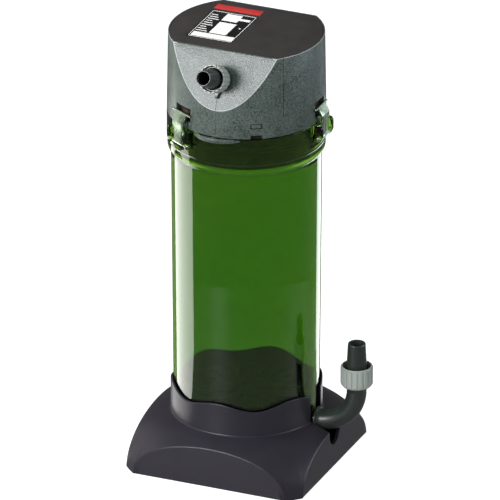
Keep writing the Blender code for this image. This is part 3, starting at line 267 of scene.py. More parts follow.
# Studio
WORLD_SEEN = 1.05
WORLD_AMBIENT = 0.30
WORLD_GLOSSY = 0.12
FLOOR_HALF = 14.0
FLOOR_DROP = 0.1 * MM
FLOOR_GREY, FLOOR_ROUGHNESS = (0.32, 0.32, 0.32, 1), 0.9
FLOOR_GLOW = 0.90
SHADE_GREY = (0.01, 0.01, 0.01, 1)
CARD_R = 0.30
CARD_FADE = 0.6  # the fade starts here, of the card's radius
CARD_GLOW = 0.24
CARD_ANGLES = range(-60, 151, 6)
PANEL_DISTANCE = 1.2
AIM_Z = 0.16
WHITE_LIGHT, BLACK = (1, 1, 1, 1), (0, 0, 0, 1)
WARM, COOL, PALE_COOL = (1.0, 0.99, 0.96), (0.80, 0.90, 1.0), (0.93, 0.97, 1.0)
PANELS = (  # name, direction, size, radiance, colour, height of the middle
    ("left_band", (-1.0, 0.08, 0), (1.15, 0.9), 4.5, WARM, -0.78),
    ("right_band", (0.13, 0.99, 0), (0.49, 0.9), 3.0, PALE_COOL, -0.78),
    ("left_glow", (-1.0, 0.08, 0), (1.15, 1.2), 0.7, WARM, 0.42),
    ("right_glow", (0.94, 0.36, 0), (0.9, 0.9), 3.8, COOL, 0.55),
    ("rear_glow", (0.39, 0.92, 0), (0.4, 1.1), 1.0, COOL, 0.40),
)
CAMERA_AZIMUTH = math.radians(22.97)
CAMERA_ELEVATION = math.radians(24.86)
CAMERA_DISTANCE = 10.0
CAMERA_SHIFT = mm(2.37, -4.99)
VIEW_WIDTH = 349.65 * MM  # what the picture spans at the object
SENSOR = 36.0


# == Meshes ==

def finished(bm):
    """Weld a bmesh, point its faces outward and return it as a mesh."""
    bmesh.ops.remove_doubles(bm, verts=bm.verts, dist=WELD)
    bmesh.ops.recalc_face_normals(bm, faces=bm.faces)
    mesh = bpy.data.meshes.new("mesh")
    bm.to_mesh(mesh)
    bm.free()
    return mesh


def skin(rows):
    """A closed mesh over a loop of rows of points, each row a closed loop."""
    bm = bmesh.new()
    grid = [[bm.verts.new(point) for point in row] for row in rows]
    for one, two in zip(grid, grid[1:] + grid[:1]):
        for corners in zip(one, one[1:] + one[:1], two[1:] + two[:1], two):
            bm.faces.new(corners)
    return finished(bm)


def turned(outline, sides=ROUND):
    """Turn a closed outline of (radius, height) points about Z."""
    bm = bmesh.new()
    verts = [bm.verts.new((radius, 0, height)) for radius, height in outline]
    edges = [
        bm.edges.new((a, b))
        for a, b in zip(verts, verts[1:] + verts[:1])
        if a.co.x > WELD or b.co.x > WELD
    ]
    bmesh.ops.spin(
        bm, geom=verts + edges, axis=(0, 0, 1), cent=(0, 0, 0),
        angle=math.tau, steps=sides, use_merge=True,
    )
    bmesh.ops.delete(bm, geom=[v for v in bm.verts if not v.link_faces], context="VERTS")
    return finished(bm)


def ring(inner, outer, bottom, top, sides=ROUND):
    return turned([(inner, bottom), (outer, bottom), (outer, top), (inner, top)], sides)


def prism(outline, bottom, top):
    """Extrude an outline of (x, y) points from z = bottom to z = top."""
    bm = bmesh.new()
    face = bm.faces.new([bm.verts.new((x, y, bottom)) for x, y in outline])
    lifted = bmesh.ops.extrude_face_region(bm, geom=[face])["geom"]
    tops = [item for item in lifted if isinstance(item, bmesh.types.BMVert)]
    bmesh.ops.translate(bm, vec=(0, 0, top - bottom), verts=tops)
    return finished(bm)


def slab(outline, front, back):
    """Extrude an outline of (x, z) points from y = front to y = back."""
    mesh = prism(outline, -back, -front)
    mesh.transform(Matrix.Rotation(QUARTER, 4, "X"))
    return mesh


def box(corner, opposite):
    (x0, y0, z0), (x1, y1, z1) = corner, opposite
    return prism([(x0, y0), (x1, y0), (x1, y1), (x0, y1)], z0, z1)


def moved(mesh, offset=(0, 0, 0), turn=0.0, axis="Z"):
    mesh.transform(Matrix.Translation(Vector(offset)) @ Matrix.Rotation(turn, 4, axis))
    return mesh


def gathered(meshes):
    """Several meshes as one, without joining their solids."""
    bm = bmesh.new()
    for mesh in meshes:
        bm.from_mesh(mesh)
    out = bpy.data.meshes.new("gathered")
    bm.to_mesh(out)
    bm.free()
    return out


def added(name, data):
    """A new object in the scene."""
    thing = bpy.data.objects.new(name, data)
    bpy.context.scene.collection.objects.link(thing)
    return thing


def baked(mesh, prepare):
    """The mesh after the modifiers that prepare puts on it."""
    thing = added("solid", mesh)
    tools = prepare(thing) or []
    bpy.context.view_layer.update()
    graph = bpy.context.evaluated_depsgraph_get()
    result = bpy.data.meshes.new_from_object(thing.evaluated_get(graph))
    for item in [thing] + tools:
        bpy.data.objects.remove(item)
    return result


def combined(operation, first, *others):
    """Join, cut or intersect the first mesh with each of the others in turn."""
    def prepare(thing):
        tools = []
        for mesh in others:
            tools.append(added("tool", mesh))
            step = thing.modifiers.new("combine", "BOOLEAN")
            step.operation = operation
            step.solver = "EXACT"
            step.object = tools[-1]
        return tools
    bm = bmesh.new()
    bm.from_mesh(baked(first, prepare))
    bmesh.ops.dissolve_degenerate(bm, dist=WELD, edges=bm.edges)
    return finished(bm)


def joined(*meshes):
    return combined("UNION", *meshes)


def cut(*meshes):
    return combined("DIFFERENCE", *meshes)


def common(*meshes):
    return combined("INTERSECT", *meshes)


def softened(mesh, width, angle=SHARP, segments=2):
    """Round every edge sharper than the angle."""
    def prepare(thing):
        step = thing.modifiers.new("round", "BEVEL")
        step.width = width
        step.segments = segments
        step.limit_method = "ANGLE"
        step.angle_limit = math.radians(angle)
        step.miter_outer = "MITER_ARC"
    return baked(mesh, prepare)


def arc(centre, radius, start, stop, steps):
    """Points on an arc, angles in degrees."""
    angles = [math.radians(start + (stop - start) * step / steps) for step in range(steps + 1)]
    return [(centre[0] + radius * math.cos(a), centre[1] + radius * math.sin(a)) for a in angles]


def eased(start, corner, end, steps=4):
    """Points on a soft turn from start, towards corner, and on to end."""
    shares = [step / steps for step in range(steps + 1)]
    return [tuple(start.lerp(corner, share).lerp(corner.lerp(end, share), share)) for share in shares]


def rounded(outline, steps=4):
    """Round the corners of a closed outline: each point is (x, y) or (x, y, radius)."""
    points = []
    for index, item in enumerate(outline):
        here = Vector(item[:2])
        if len(item) < 3:
            points.append(tuple(here))
            continue
        before = Vector(outline[index - 1][:2]) - here
        after = Vector(outline[(index + 1) % len(outline)][:2]) - here
        reach = min(item[2], before.length * CORNER_SHARE, after.length * CORNER_SHARE)
        points += eased(here + before.normalized() * reach, here, here + after.normalized() * reach, steps)
    return points


def place(degrees, radius, height):
    """A place at an angle measured from the front towards the right."""
    angle = math.radians(degrees)
    return (radius * math.sin(angle), -radius * math.cos(angle), height)


def facing(degrees):
    """Turn about Z that points local +X outward at that angle."""
    return math.radians(degrees - 90)


# == Materials ==

def shader_material(name):
    made = bpy.data.materials.new(name)
    made.use_nodes = True
    return made, made.node_tree, made.node_tree.nodes["Principled BSDF"]


def fill(tree, node, inputs):
    """Give each named input its value, or link it where a socket is given."""
    for name, value in inputs.items():
        if isinstance(value, bpy.types.NodeSocket):
            tree.links.new(value, node.inputs[name])
        else:
            node.inputs[name].default_value = value
    return node


def wired(tree, kind, **inputs):
    """A new shader node; an input's name is written with _ for each space."""
    node = tree.nodes.new("ShaderNode" + kind)
    return fill(tree, node, {name.replace("_", " "): value for name, value in inputs.items()})


def here(tree):
    """The piece's own coordinates."""
    return wired(tree, "TexCoord").outputs["Object"]


def noise(tree, scale, detail, where=None):
    return wired(tree, "TexNoise", Scale=scale, Detail=detail, Vector=where or here(tree)).outputs["Fac"]


def ranged(tree, value, start, stop, low_in=0.3, high_in=0.7):
    """Map a value to a range."""
    node = wired(tree, "MapRange", Value=value, From_Min=low_in, From_Max=high_in, To_Min=start, To_Max=stop)
    return node.outputs["Result"]


def mixed(tree, share, one, two):
    """Mix two colours; each is a colour or a socket."""
    node = tree.nodes.new("ShaderNodeMix")
    node.data_type = "RGBA"
    tree.links.new(share, node.inputs["Factor"])
    for socket, colour in ((node.inputs["A"], one), (node.inputs["B"], two)):
        if isinstance(colour, tuple):
            socket.default_value = (*colour, 1)
        else:
            tree.links.new(colour, socket)
    return node.outputs["Result"]


def bumped(tree, height, distance, strength=1.0):
    return wired(tree, "Bump", Height=height, Distance=distance, Strength=strength).outputs["Normal"]


def plastic(name, dark, light, roughness, grain=0.5 * MM, bump=0.01 * MM, specular=0.5, sink=0.0):
    """Moulded plastic with a spark-eroded grain and faint mottling, which may sink the surface."""
    made, tree, shader = shader_material(name)
    fine = noise(tree, 1 / grain, FINE_DETAIL)
    broad = noise(tree, MOTTLE_SCALE, MOTTLE_DETAIL)
    grained = mixed(tree, ranged(tree, fine, 0, 1), dark, light)
    tint = tuple(min(1.0, channel * MOTTLE_TINT) for channel in light)
    sunk = tree.nodes.new("ShaderNodeMath")
    sunk.operation = "MULTIPLY_ADD"
    tree.links.new(broad, sunk.inputs[0])
    sunk.inputs[1].default_value = sink / bump
    tree.links.new(fine, sunk.inputs[2])
    smooth, rough = GRAIN_SHINE
    fill(tree, shader, {
        "Base Color": mixed(tree, ranged(tree, broad, 0, MOTTLE), grained, tint),
        "Roughness": ranged(tree, fine, roughness + smooth, roughness + rough),
        "Normal": bumped(tree, sunk.outputs[0], bump),
        "Specular IOR Level": specular,
    })
    return made


def clear_plastic(name, colour, deep):
    """Clear coloured plastic with the faint ripple of a moulding."""
    made, tree, shader = shader_material(name)
    broad = noise(tree, BROAD_SCALE, RIPPLE_DETAIL)
    ripple = noise(tree, RIPPLE_SCALE, RIPPLE_DETAIL)
    fill(tree, shader, {
        "Base Color": mixed(tree, ranged(tree, broad, 0, 1), deep, colour),
        "Roughness": ranged(tree, ripple, 0.0, RIPPLE_ROUGH),
        "Transmission Weight": 1.0,
        "IOR": CLEAR_IOR,
        "Normal": bumped(tree, ripple, RIPPLE_BUMP, RIPPLE_STRENGTH),
    })
    return made


def metal(name, dark, light, roughness, streak):
    """Pressed or drawn metal with fine marks along one direction."""
    made, tree, shader = shader_material(name)
    stretched = wired(tree, "Mapping", Vector=here(tree), Scale=streak).outputs["Vector"]
    marks = noise(tree, MARK_SCALE, MARK_DETAIL, stretched)
    smooth, rough = MARK_SHINE
    fill(tree, shader, {
        "Base Color": mixed(tree, ranged(tree, marks, 0, 1), dark, light),
        "Roughness": ranged(tree, marks, roughness + smooth, roughness + rough),
        "Metallic": 1.0,
        "Normal": bumped(tree, marks, MARK_BUMP),
    })
    return made


def layered(name, dark, light, pitch, roughness, metallic):
    """Stacked or wound material: fine bands along Z."""
    made, tree, shader = shader_material(name)
    bands = wired(tree, "TexWave", Vector=here(tree), Scale=1 / pitch / math.tau, Distortion=BAND_DISTORTION)
    bands.bands_direction = "Z"
    value = bands.outputs["Fac"]
    fill(tree, shader, {
        "Base Color": mixed(tree, value, dark, light),
        "Roughness": ranged(tree, value, roughness + BAND_SHINE, roughness, 0, 1),
        "Metallic": metallic,
        "Normal": bumped(tree, value, BAND_BUMP),
    })
    return made


FOOT = plastic("foot_charcoal", (0.014, 0.012, 0.018), (0.021, 0.019, 0.026), 0.36,
               grain=0.35 * MM, bump=0.006 * MM, specular=0.4)
GREEN = clear_plastic("canister_green", (0.155, 0.3, 0.035), (0.125, 0.295, 0.035))
HEAD = plastic("head_grained", (0.008, 0.018, 0.014), (0.094, 0.12, 0.106), 0.38,
               grain=1.1 * MM, bump=0.16 * MM, specular=0.7, sink=0.35 * MM)
# painted highlight: a light grey for the head's rounded edges, where they catch the light
EDGE_HIGHLIGHT = plastic("head_edge", (0.3, 0.33, 0.32), (0.42, 0.45, 0.44), 0.3)
COVER = plastic("cover_grained", (0.012, 0.01, 0.01), (0.044, 0.039, 0.038), 0.48,
                grain=1.0 * MM, bump=0.08 * MM)
DARK = plastic("inner_dark", (0.015, 0.009, 0.006), (0.022, 0.013, 0.01), 0.5, specular=0.3)
STRAINER = plastic("strainer_black", (0.003, 0.003, 0.003), (0.005, 0.005, 0.004), 0.7,
                   bump=0.002 * MM, specular=0.1)
FITTING = plastic("fitting_satin", (0.02, 0.026, 0.025), (0.03, 0.037, 0.036), 0.24,
                  grain=0.6 * MM, bump=0.008 * MM)
ELBOW = plastic("elbow_satin", (0.016, 0.021, 0.018), (0.024, 0.03, 0.026), 0.32, bump=0.012 * MM)
NUT = plastic("nut_satin", (0.26, 0.29, 0.265), (0.34, 0.375, 0.345), 0.38, grain=0.4 * MM, bump=0.012 * MM)
RUBBER = plastic("seal_rubber", (0.01, 0.01, 0.01), (0.018, 0.018, 0.017), 0.7,
                 grain=0.3 * MM, bump=0.02 * MM)
STEEL = metal("clip_bright", (0.38, 0.48, 0.34), (0.54, 0.66, 0.49), 0.24, streak=(1.0, 1.0, 0.15))
WIRE = metal("pin_bright", (0.66, 0.7, 0.62), (0.86, 0.88, 0.82), 0.16, streak=(1.0, 1.0, 4.0))
INK_BLACK = plastic("label_black", (0.006, 0.006, 0.006), (0.01, 0.01, 0.01), 0.34,
                    grain=0.8 * MM, bump=0.003 * MM, specular=0.2)
INK_WHITE = plastic("label_white", (0.8, 0.8, 0.79), (0.88, 0.88, 0.87), 0.4, bump=0.003 * MM)
INK_RED = plastic("bar_red", (0.4, 0.022, 0.02), (0.52, 0.035, 0.03), 0.38, bump=0.004 * MM)
CORE = layered("core_laminated", (0.16, 0.16, 0.17), (0.34, 0.34, 0.35), 0.5 * MM, 0.42, metallic=1.0)
COIL = layered("coil_wound", (0.28, 0.09, 0.03), (0.55, 0.23, 0.09), 0.4 * MM, 0.3, metallic=0.7)
MAGNET = plastic("magnet_sintered", (0.045, 0.045, 0.05), (0.075, 0.075, 0.08), 0.5, grain=0.3 * MM)
WHITE = plastic("impeller_white", (0.5, 0.5, 0.48), (0.58, 0.58, 0.56), 0.34, grain=0.6 * MM, bump=0.006 * MM)
CERAMIC = plastic("shaft_ceramic", (0.68, 0.66, 0.61), (0.78, 0.76, 0.72), 0.16,
                  grain=0.4 * MM, bump=0.002 * MM)


# == Pieces ==

def piece(name, mesh, finish, body, nodes=(), frame_matrix=None, smooth=38.0):
    """Add a visible piece: placed, smoothed, riding its body and standing for its CAD nodes."""
    if frame_matrix is not None:
        mesh.transform(frame_matrix)
    mesh.transform(Matrix.Translation(AXIS))
    mesh.name = name
    mesh.materials.clear()
    mesh.materials.append(finish)
    mesh.shade_smooth()
    mesh.set_sharp_from_angle(angle=math.radians(smooth))
    thing = added(name, mesh)
    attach(thing, body)
    if nodes:
        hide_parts(*nodes)
    return thing


def dress(nodes, finish, width=0.0):
    """Give CAD nodes their material and, where asked, rounded edges."""
    for name in nodes:
        thing = frame["nodes"][name]
        for holder in thing.material_slots:
            holder.link = "OBJECT"
            holder.material = finish
        if width:
            step = thing.modifiers.new("round", "BEVEL")
            step.width = width
            step.segments = 2
            step.limit_method = "ANGLE"
            step.angle_limit = math.radians(SHARP)


# == Foot ==

def dome_height(radius, base=DOME_BASE_R, height=DOME_HEIGHT):
    share = max(0.0, (radius - DOME_FLAT_R) / (base - DOME_FLAT_R))
    return height * math.sqrt(max(0.0, 1 - share ** 2))


def foot_row(angle):
    """The foot's cross-section at one angle, as a closed loop of points."""
    wide = max(abs(math.cos(angle)), abs(math.sin(angle)))
    reach = min(DOME_BASE_R, FOOT_HALF / wide)
    from_front = math.atan2(math.cos(angle), -math.sin(angle))
    top = COLLAR_TOP + COLLAR_WAVE * math.cos(COLLAR_WAVES * from_front)
    edge = dome_height(reach)
    soft = min(EDGE_SOFT, edge * EDGE_SHARE + EDGE_LEAST)
    profile = [
        (SHELF_R, SHELF_HIGH), (COLLAR_BORE_R - COLLAR_LIP, SHELF_HIGH),
        (COLLAR_BORE_R, SHELF_HIGH + COLLAR_LIP),
        *arc(((COLLAR_R + COLLAR_BORE_R) / 2, top - COLLAR_LIP), COLLAR_LIP, 180, 0, 8),
    ]
    root_r = COLLAR_R + COLLAR_ROOT
    root = dome_height(root_r)
    profile += eased(Vector((COLLAR_R, root + COLLAR_ROOT)), Vector((COLLAR_R, root + ROOT_RISE)),
                     Vector((root_r, root)))
    span = DOME_BASE_R - DOME_FLAT_R
    begin = math.asin((root_r - DOME_FLAT_R) / span)
    end = math.asin(min(1.0, (reach - soft - DOME_FLAT_R) / span))
    for step in range(1, DOME_STEPS + 1):
        swing = begin + (end - begin) * step / DOME_STEPS
        profile.append((DOME_FLAT_R + span * math.sin(swing), DOME_HEIGHT * math.cos(swing)))
    below = Vector((reach, max(0.0, edge - soft)))
    profile += eased(Vector(profile[-1]), Vector((reach, edge + EDGE_LIFT)), below)[1:]
    base, height = DOME_BASE_R - FOOT_WALL, DOME_HEIGHT - FOOT_WALL
    inner_reach = min(base, (FOOT_HALF - FOOT_WALL) / wide)
    inner_edge = max(UNDER_LEAST, dome_height(inner_reach, base, height) - UNDER_DROP)
    profile += [(reach, min(FOOT_RIM, below.y / 2)), (reach - FOOT_RIM, 0), (inner_reach, 0),
                (inner_reach, inner_edge / 2)]
    for step in range(UNDER_STEPS + 1):
        radius = inner_reach + (COLLAR_R - inner_reach) * step / UNDER_STEPS
        profile.append((radius, max(inner_edge, dome_height(radius, base, height) - UNDER_DROP)))
    profile += [(COLLAR_R, SHELF_LOW), (SHELF_R, SHELF_LOW)]
    return [(r * math.cos(angle), r * math.sin(angle), z) for r, z in profile]


def make_foot():
    corner = math.acos(FOOT_HALF / DOME_BASE_R)
    corners = {(side * QUARTER + sign * corner) % math.tau for side in range(4) for sign in (-1, 1)}
    angles = sorted(corners | {step * math.tau / FOOT_SIDES for step in range(FOOT_SIDES)})
    body = skin([foot_row(angle) for angle in angles])
    outline = [(-NOTCH_HALF, NOTCH_TOP), *arc((0, NOTCH_LOW + NOTCH_HALF), NOTCH_HALF, 180, 360, SMALL),
               (NOTCH_HALF, NOTCH_TOP)]
    cutter = moved(slab(outline, -NOTCH_FAR, -NOTCH_NEAR), turn=QUARTER)
    piece("foot", cut(body, cutter), FOOT, "housing", ["foot_base"])


# == Canister ==

def ear(side):
    base, outer = PIN_Z - EAR_DROP, PIN_AXIS_R + EAR_REACH
    outline = rounded([
        (EAR_ROOT_R, base), (PIN_AXIS_R + EAR_HEEL, base, EAR_HEEL_SOFT), (outer, PIN_Z, FULL),
        (outer, CAN_RIM, EAR_TOP_SOFT), (EAR_ROOT_R, CAN_RIM),
    ], 6)
    return softened(slab(outline, *sorted((side * EAR_INNER, side * EAR_OUTER))), EAR_SOFT)


def make_canister():
    floor = CAN_LOW + CAN_WALL
    body = turned(rounded([
        (0, CAN_LOW), (CAN_FOOT_R, CAN_LOW, CAN_FLOOR_SOFT), (CAN_NECK_R, CAN_SHOULDER_Z, CAN_SHOULDER_SOFT),
        (CAN_CONE_R, CAN_CONE_Z, CAN_CONE_SOFT), (CAN_BAND_R, CAN_BAND_LOW, SOFT),
        (CAN_BAND_R, CAN_BAND_HIGH, FINER), (CAN_COLLAR_R, CAN_LINE_Z, SOFT),
        (CAN_COLLAR_R, CAN_RIM, SOFT), (CAN_COLLAR_BORE_R, CAN_RIM, SOFT), (CAN_COLLAR_BORE_R, CAN_STEP_Z),
        (CAN_STEP_R, CAN_STEP_Z - CAN_STEP_DROP, FULL), (CAN_NECK_R - CAN_WALL, CAN_NECK_Z, CAN_NECK_SOFT),
        (CAN_FOOT_R - CAN_WALL, floor, CAN_FLOOR_SOFT_IN), (0, floor),
    ], 5), FINE)
    along_x = {"turn": QUARTER, "axis": "Y", "offset": (0, 0, INLET_Z)}
    socket = moved(turned(rounded([
        (0, SOCKET_IN_X), (SOCKET_R, SOCKET_IN_X, SOFT), (SOCKET_R, SOCKET_OUT_X, SOFT), (0, SOCKET_OUT_X),
    ])), **along_x)
    bore = moved(ring(0, SOCKET_BORE_R, *SOCKET_CUT), **along_x)
    ears, holes = [], []
    for degrees in CLIP_ANGLES:
        ears += [moved(ear(side), turn=facing(degrees)) for side in (-1, 1)]
        hole = moved(ring(0, PIN_R + GAP, -THROUGH, THROUGH, SMALL), turn=QUARTER, axis="X")
        moved(hole, offset=(PIN_AXIS_R, 0, PIN_Z))
        holes.append(moved(hole, turn=facing(degrees)))
    whole = cut(joined(body, socket, gathered(ears)), bore, gathered(holes))
    piece("canister_vessel", whole, GREEN, "housing", ["canister"], smooth=30.0)


# == Clips ==

def pressed_sheet():
    """The clip's plate with its inward lip, narrowed towards the pin."""
    outer, inner = CLIP_FACE, CLIP_FACE - CLIP_SHEET
    lip_x, lip_z = CLIP_LIP
    sheet = slab(rounded([
        (inner, -CLIP_HEEL), (outer, -CLIP_HEEL), (outer, CLIP_TOP, CLIP_BENDS[0]),
        (lip_x + MILD, lip_z + GAP), (lip_x - GAP, lip_z - GAP), (inner, CLIP_TOP - GAP, CLIP_BENDS[1]),
    ], 5), -CLIP_HALF, CLIP_HALF)
    start, stop = CLIP_TAPER
    wide = CLIP_HALF + CLIP_FLARE
    taper = slab(rounded([
        (-CLIP_FOOT_HALF, start), (CLIP_FOOT_HALF, start), (CLIP_HALF, CLIP_WAIST, CLIP_WAIST_R),
        (wide, stop), (-wide, stop), (-CLIP_HALF, CLIP_WAIST, CLIP_WAIST_R),
    ]), -REACH, REACH)
    return common(sheet, moved(taper, turn=QUARTER))


def flank(side):
    """The clip's side wall, which reaches in to the canister's collar."""
    depth = CAN_COLLAR_R + GAP - PIN_AXIS_R
    near, top = CLIP_FACE - TINY, CLIP_TOP - TINY
    outline = [(depth, FLANK_LOWS[0], FLANK_SOFT), (near, FLANK_LOWS[1]), (near, top), (depth, top, FLANK_SOFT)]
    return slab(rounded(outline), *sorted(side * (CLIP_HALF - inset) for inset in FLANK_SIDES))


def clip_lever():
    """A pressed sheet clip about its pin: origin on the pin, +X outward, +Z up."""
    lower, upper = (CLIP_TOP - drop for drop in TONGUE_DROPS)
    tongue = box((-TONGUE_IN, -TONGUE_HALF, lower), (CLIP_FACE - GAP, TONGUE_HALF, upper))
    barrel = ring(0, CLIP_BARREL_R, -CLIP_BARREL_HALF, CLIP_BARREL_HALF, SMALL)
    bore = ring(0, PIN_R + CLIP_PLAY, -THROUGH, THROUGH, SMALL)
    end = CLIP_BAR_R * CLIP_BAR_END
    bar = turned(rounded([
        (0, -CLIP_BAR_HALF), (CLIP_BAR_R, -CLIP_BAR_HALF, end), (CLIP_BAR_R, CLIP_BAR_HALF, end),
        (0, CLIP_BAR_HALF),
    ]), SMALL)
    for mesh in (barrel, bore, bar):
        moved(mesh, turn=QUARTER, axis="X")
    moved(bar, offset=(CLIP_LIP[0], 0, CLIP_LIP[1]))
    pressed = cut(joined(pressed_sheet(), flank(-1), flank(1), tongue, barrel), bore)
    return joined(softened(pressed, CLIP_SOFT), bar)


def clip_pin():
    head = PIN_HALF - PIN_HEAD
    outline = rounded([
        (0, -PIN_HALF), (PIN_HEAD_R, -PIN_HALF, MILD), (PIN_HEAD_R, -head), (PIN_R, -head),
        (PIN_R, head), (PIN_HEAD_R, head), (PIN_HEAD_R, PIN_HALF, MILD), (0, PIN_HALF),
    ])
    return moved(turned(outline, SMALL), turn=QUARTER, axis="X")


def make_clips():
    for number, degrees in enumerate(CLIP_ANGLES, start=1):
        where = Matrix.Translation(place(degrees, PIN_AXIS_R, PIN_Z)) @ Matrix.Rotation(facing(degrees), 4, "Z")
        piece(f"clip_{number}_sheet", clip_lever(), STEEL, f"clip_{number}",
              [f"clip_lever_{number}"], where)
        piece(f"clip_{number}_pin", clip_pin(), WIRE, "housing", [f"clip_pin_{number}"], where)


# == Head ==

def flat_cutter(front, depth=0.0):
    """Everything outside one of the head's two leaning flats, moved inward by depth."""
    normal = FLAT_NORMAL if front else BACK_NORMAL
    edge = Vector((0, FRONT_FLAT_Y if front else BACK_FLAT_Y, HEAD_TOP))
    half, deep = FLAT_BLOCK
    block = box((-half, -half, 0), (half, half, deep))
    block.transform(normal.to_track_quat("Z", "X").to_matrix().to_4x4())
    return moved(block, offset=edge - normal * depth)


def head_cone(inset):
    bottom = HEAD_LOW - (REACH if inset else 0)
    top = HEAD_TOP - (COVER_DEPTH if inset else 0)
    outline = [(0, bottom), (HEAD_LOW_R - inset, bottom), (HEAD_TOP_R - inset, top), (0, top)]
    return cut(turned(outline, FINE), flat_cutter(True, inset), flat_cutter(False, inset))


def head_plan(inset):
    """Plan of the head's top: a circle with two flats."""
    radius = HEAD_TOP_R - inset
    first = math.degrees(math.asin((FRONT_FLAT_Y + inset) / radius))
    last = math.degrees(math.asin((BACK_FLAT_Y - inset) / radius))
    right = arc((0, 0), radius, first, last, PLAN_STEPS)
    return right + arc((0, 0), radius, 180 - last, 180 - first, PLAN_STEPS)


def finger_ledge():
    """The ledge under the front of the head, scooped out for a finger."""
    half = HEAD_LOW_R * math.sin(LEDGE_ANGLE)
    rise = HEAD_LOW_R + LEDGE_REACH - HEAD_LOW_R * math.cos(LEDGE_ANGLE)
    radius = (half ** 2 + rise ** 2) / (2 * rise)
    centre_y = radius - (HEAD_LOW_R + LEDGE_REACH)
    spread = math.degrees(math.asin(half / radius))
    deep = math.degrees(math.asin(half / HEAD_LOW_R)) - LEDGE_ROOT_SHORT
    lip = arc((0, centre_y), radius, 270 - spread, 270 + spread, LEDGE_STEPS)
    back = arc((0, 0), HEAD_LOW_R - LEDGE_ROOT, 270 + deep, 270 - deep, SMALL)
    body = softened(prism(lip + back, LEDGE_LOW, LEDGE_HIGH), MILD, BLUNT, 3)
    clearance = ring(0, CAN_COLLAR_R + GAP, LEDGE_LOW - REACH, HEAD_LOW + TINY, FINE)
    scoop_plan = arc((0, centre_y + SCOOP_BACK), radius + SCOOP_WIDER, 0, 354, SCOOP_STEPS)
    scoop = prism(scoop_plan, LEDGE_HIGH - SCOOP_DEPTH, LEDGE_HIGH + REACH)
    scoop = cut(scoop, ring(0, HEAD_LOW_R + GAP, LEDGE_LOW - REACH, LEDGE_HIGH + 2 * REACH, FINE))
    return cut(body, clearance, scoop)


def radial_block(degrees, half, bottom, top, near, far):
    return moved(box((near, -half, bottom), (far, half, top)), turn=facing(degrees))


def flat_matrix(front):
    """The middle of a leaning flat at the outlet's height, +Z along its normal."""
    normal, edge, side = (FLAT_NORMAL, FRONT_FLAT_Y, 1) if front else (BACK_NORMAL, BACK_FLAT_Y, -1)
    depth = edge + (HEAD_TOP - OUTLET_Z) * normal.z / normal.y
    return Matrix.Translation((0, depth, OUTLET_Z)) @ Matrix.Rotation(side * math.acos(normal.z), 4, "X")


def paint_edge_highlights(mesh, finish):
    """Paint a highlight on the rounded edges of the head: their faces get a lighter material."""
    mesh.materials.append(finish)
    mark = len(mesh.materials) - 1
    least, most = RIM_TILT
    for face in mesh.polygons:
        centre, normal = face.center - AXIS, face.normal
        on_rim = centre.z > HEAD_TOP - EDGE_REACH and least < normal.z < most
        near_flat = centre.y < FRONT_FLAT_Y + EDGE_REACH
        leaning = near_flat and normal.dot(FLAT_NORMAL) < FLAT_TURN and normal.z > LEAST_RISE
        wall = centre.xy.length > HEAD_TOP_R - HEAD_WALL + GAP and centre.z > LEDGE_HIGH + EDGE_REACH
        outward = normal.xy.dot(centre.xy) > 0
        if outward and wall and (leaning or on_rim):
            face.material_index = mark


def seams():
    """Fine parting lines: down the front flat and the wall below it, and on the right."""
    start, stop = SEAM_ON_FLAT
    on_flat = box((-SEAM_HALF, start, -SEAM_DEPTH), (SEAM_HALF, stop, PAST))
    on_flat.transform(flat_matrix(True))
    near = HEAD_LOW_R - SEAM_DEPTH
    far = near + OPENING_OUT
    below = radial_block(0, SEAM_HALF, LEDGE_HIGH + MM, FLAT_LOW, near, far)
    right = radial_block(SEAM_SIDE, SEAM_HALF, HEAD_LOW + SEAM_START, HEAD_TOP, HEAD_TOP_R - SEAM_DEPTH, far)
    return [on_flat, below, right]


def head_openings():
    """Cutters for the clips' slots, the snap windows and notches, and the two round holes."""
    near, far = HEAD_LOW_R - OPENING_IN, HEAD_LOW_R + OPENING_OUT
    blocks = [radial_block(degrees, SLOT_HALF, SLOT_LOW, SLOT_HIGH, near, far) for degrees in CLIP_ANGLES]
    for degrees in WINDOWS:
        blocks.append(radial_block(degrees, WINDOW_HALF, WINDOW_LOW, WINDOW_HIGH, near, far))
        blocks.append(radial_block(degrees, WINDOW_HALF, HEAD_LOW - OPENING_DOWN, NOTCH_HIGH, near, far))
    outlet_hole, gland_hole = (ring(0, radius, -THROUGH, THROUGH) for radius in (OUTLET_HOLE_R, GLAND_HOLE_R))
    outlet_hole.transform(flat_matrix(True))
    gland_hole.transform(flat_matrix(False))
    return gathered([softened(block, SOFT, BLUNT, 3) for block in blocks] + [outlet_hole, gland_hole])


def make_head():
    outside = softened(head_cone(0), HEAD_SOFT, HEAD_SHARP, 4)
    recess = prism(head_plan(COVER_INSET), HEAD_TOP - COVER_DEPTH - GAP, HEAD_TOP + REACH)
    block = joined(outside, finger_ledge())
    shell = cut(block, head_openings(), head_cone(HEAD_WALL), recess, *seams())
    wall = piece("head_wall", shell, HEAD, "housing", ["head_shell"], smooth=30.0)
    # paint highlights on the head's rounded edges
    paint_edge_highlights(wall.data, EDGE_HIGHLIGHT)
    for number, degrees in enumerate(WINDOWS, start=1):
        tab = radial_block(degrees, WINDOW_HALF - 2 * GAP, WINDOW_LOW + 2 * GAP, WINDOW_HIGH - 2 * GAP,
                           HEAD_LOW_R - HEAD_WALL, HEAD_LOW_R - TAB_SHY)
        piece(f"snap_tab_{number}", softened(tab, FINER, BLUNT), HEAD, "housing")


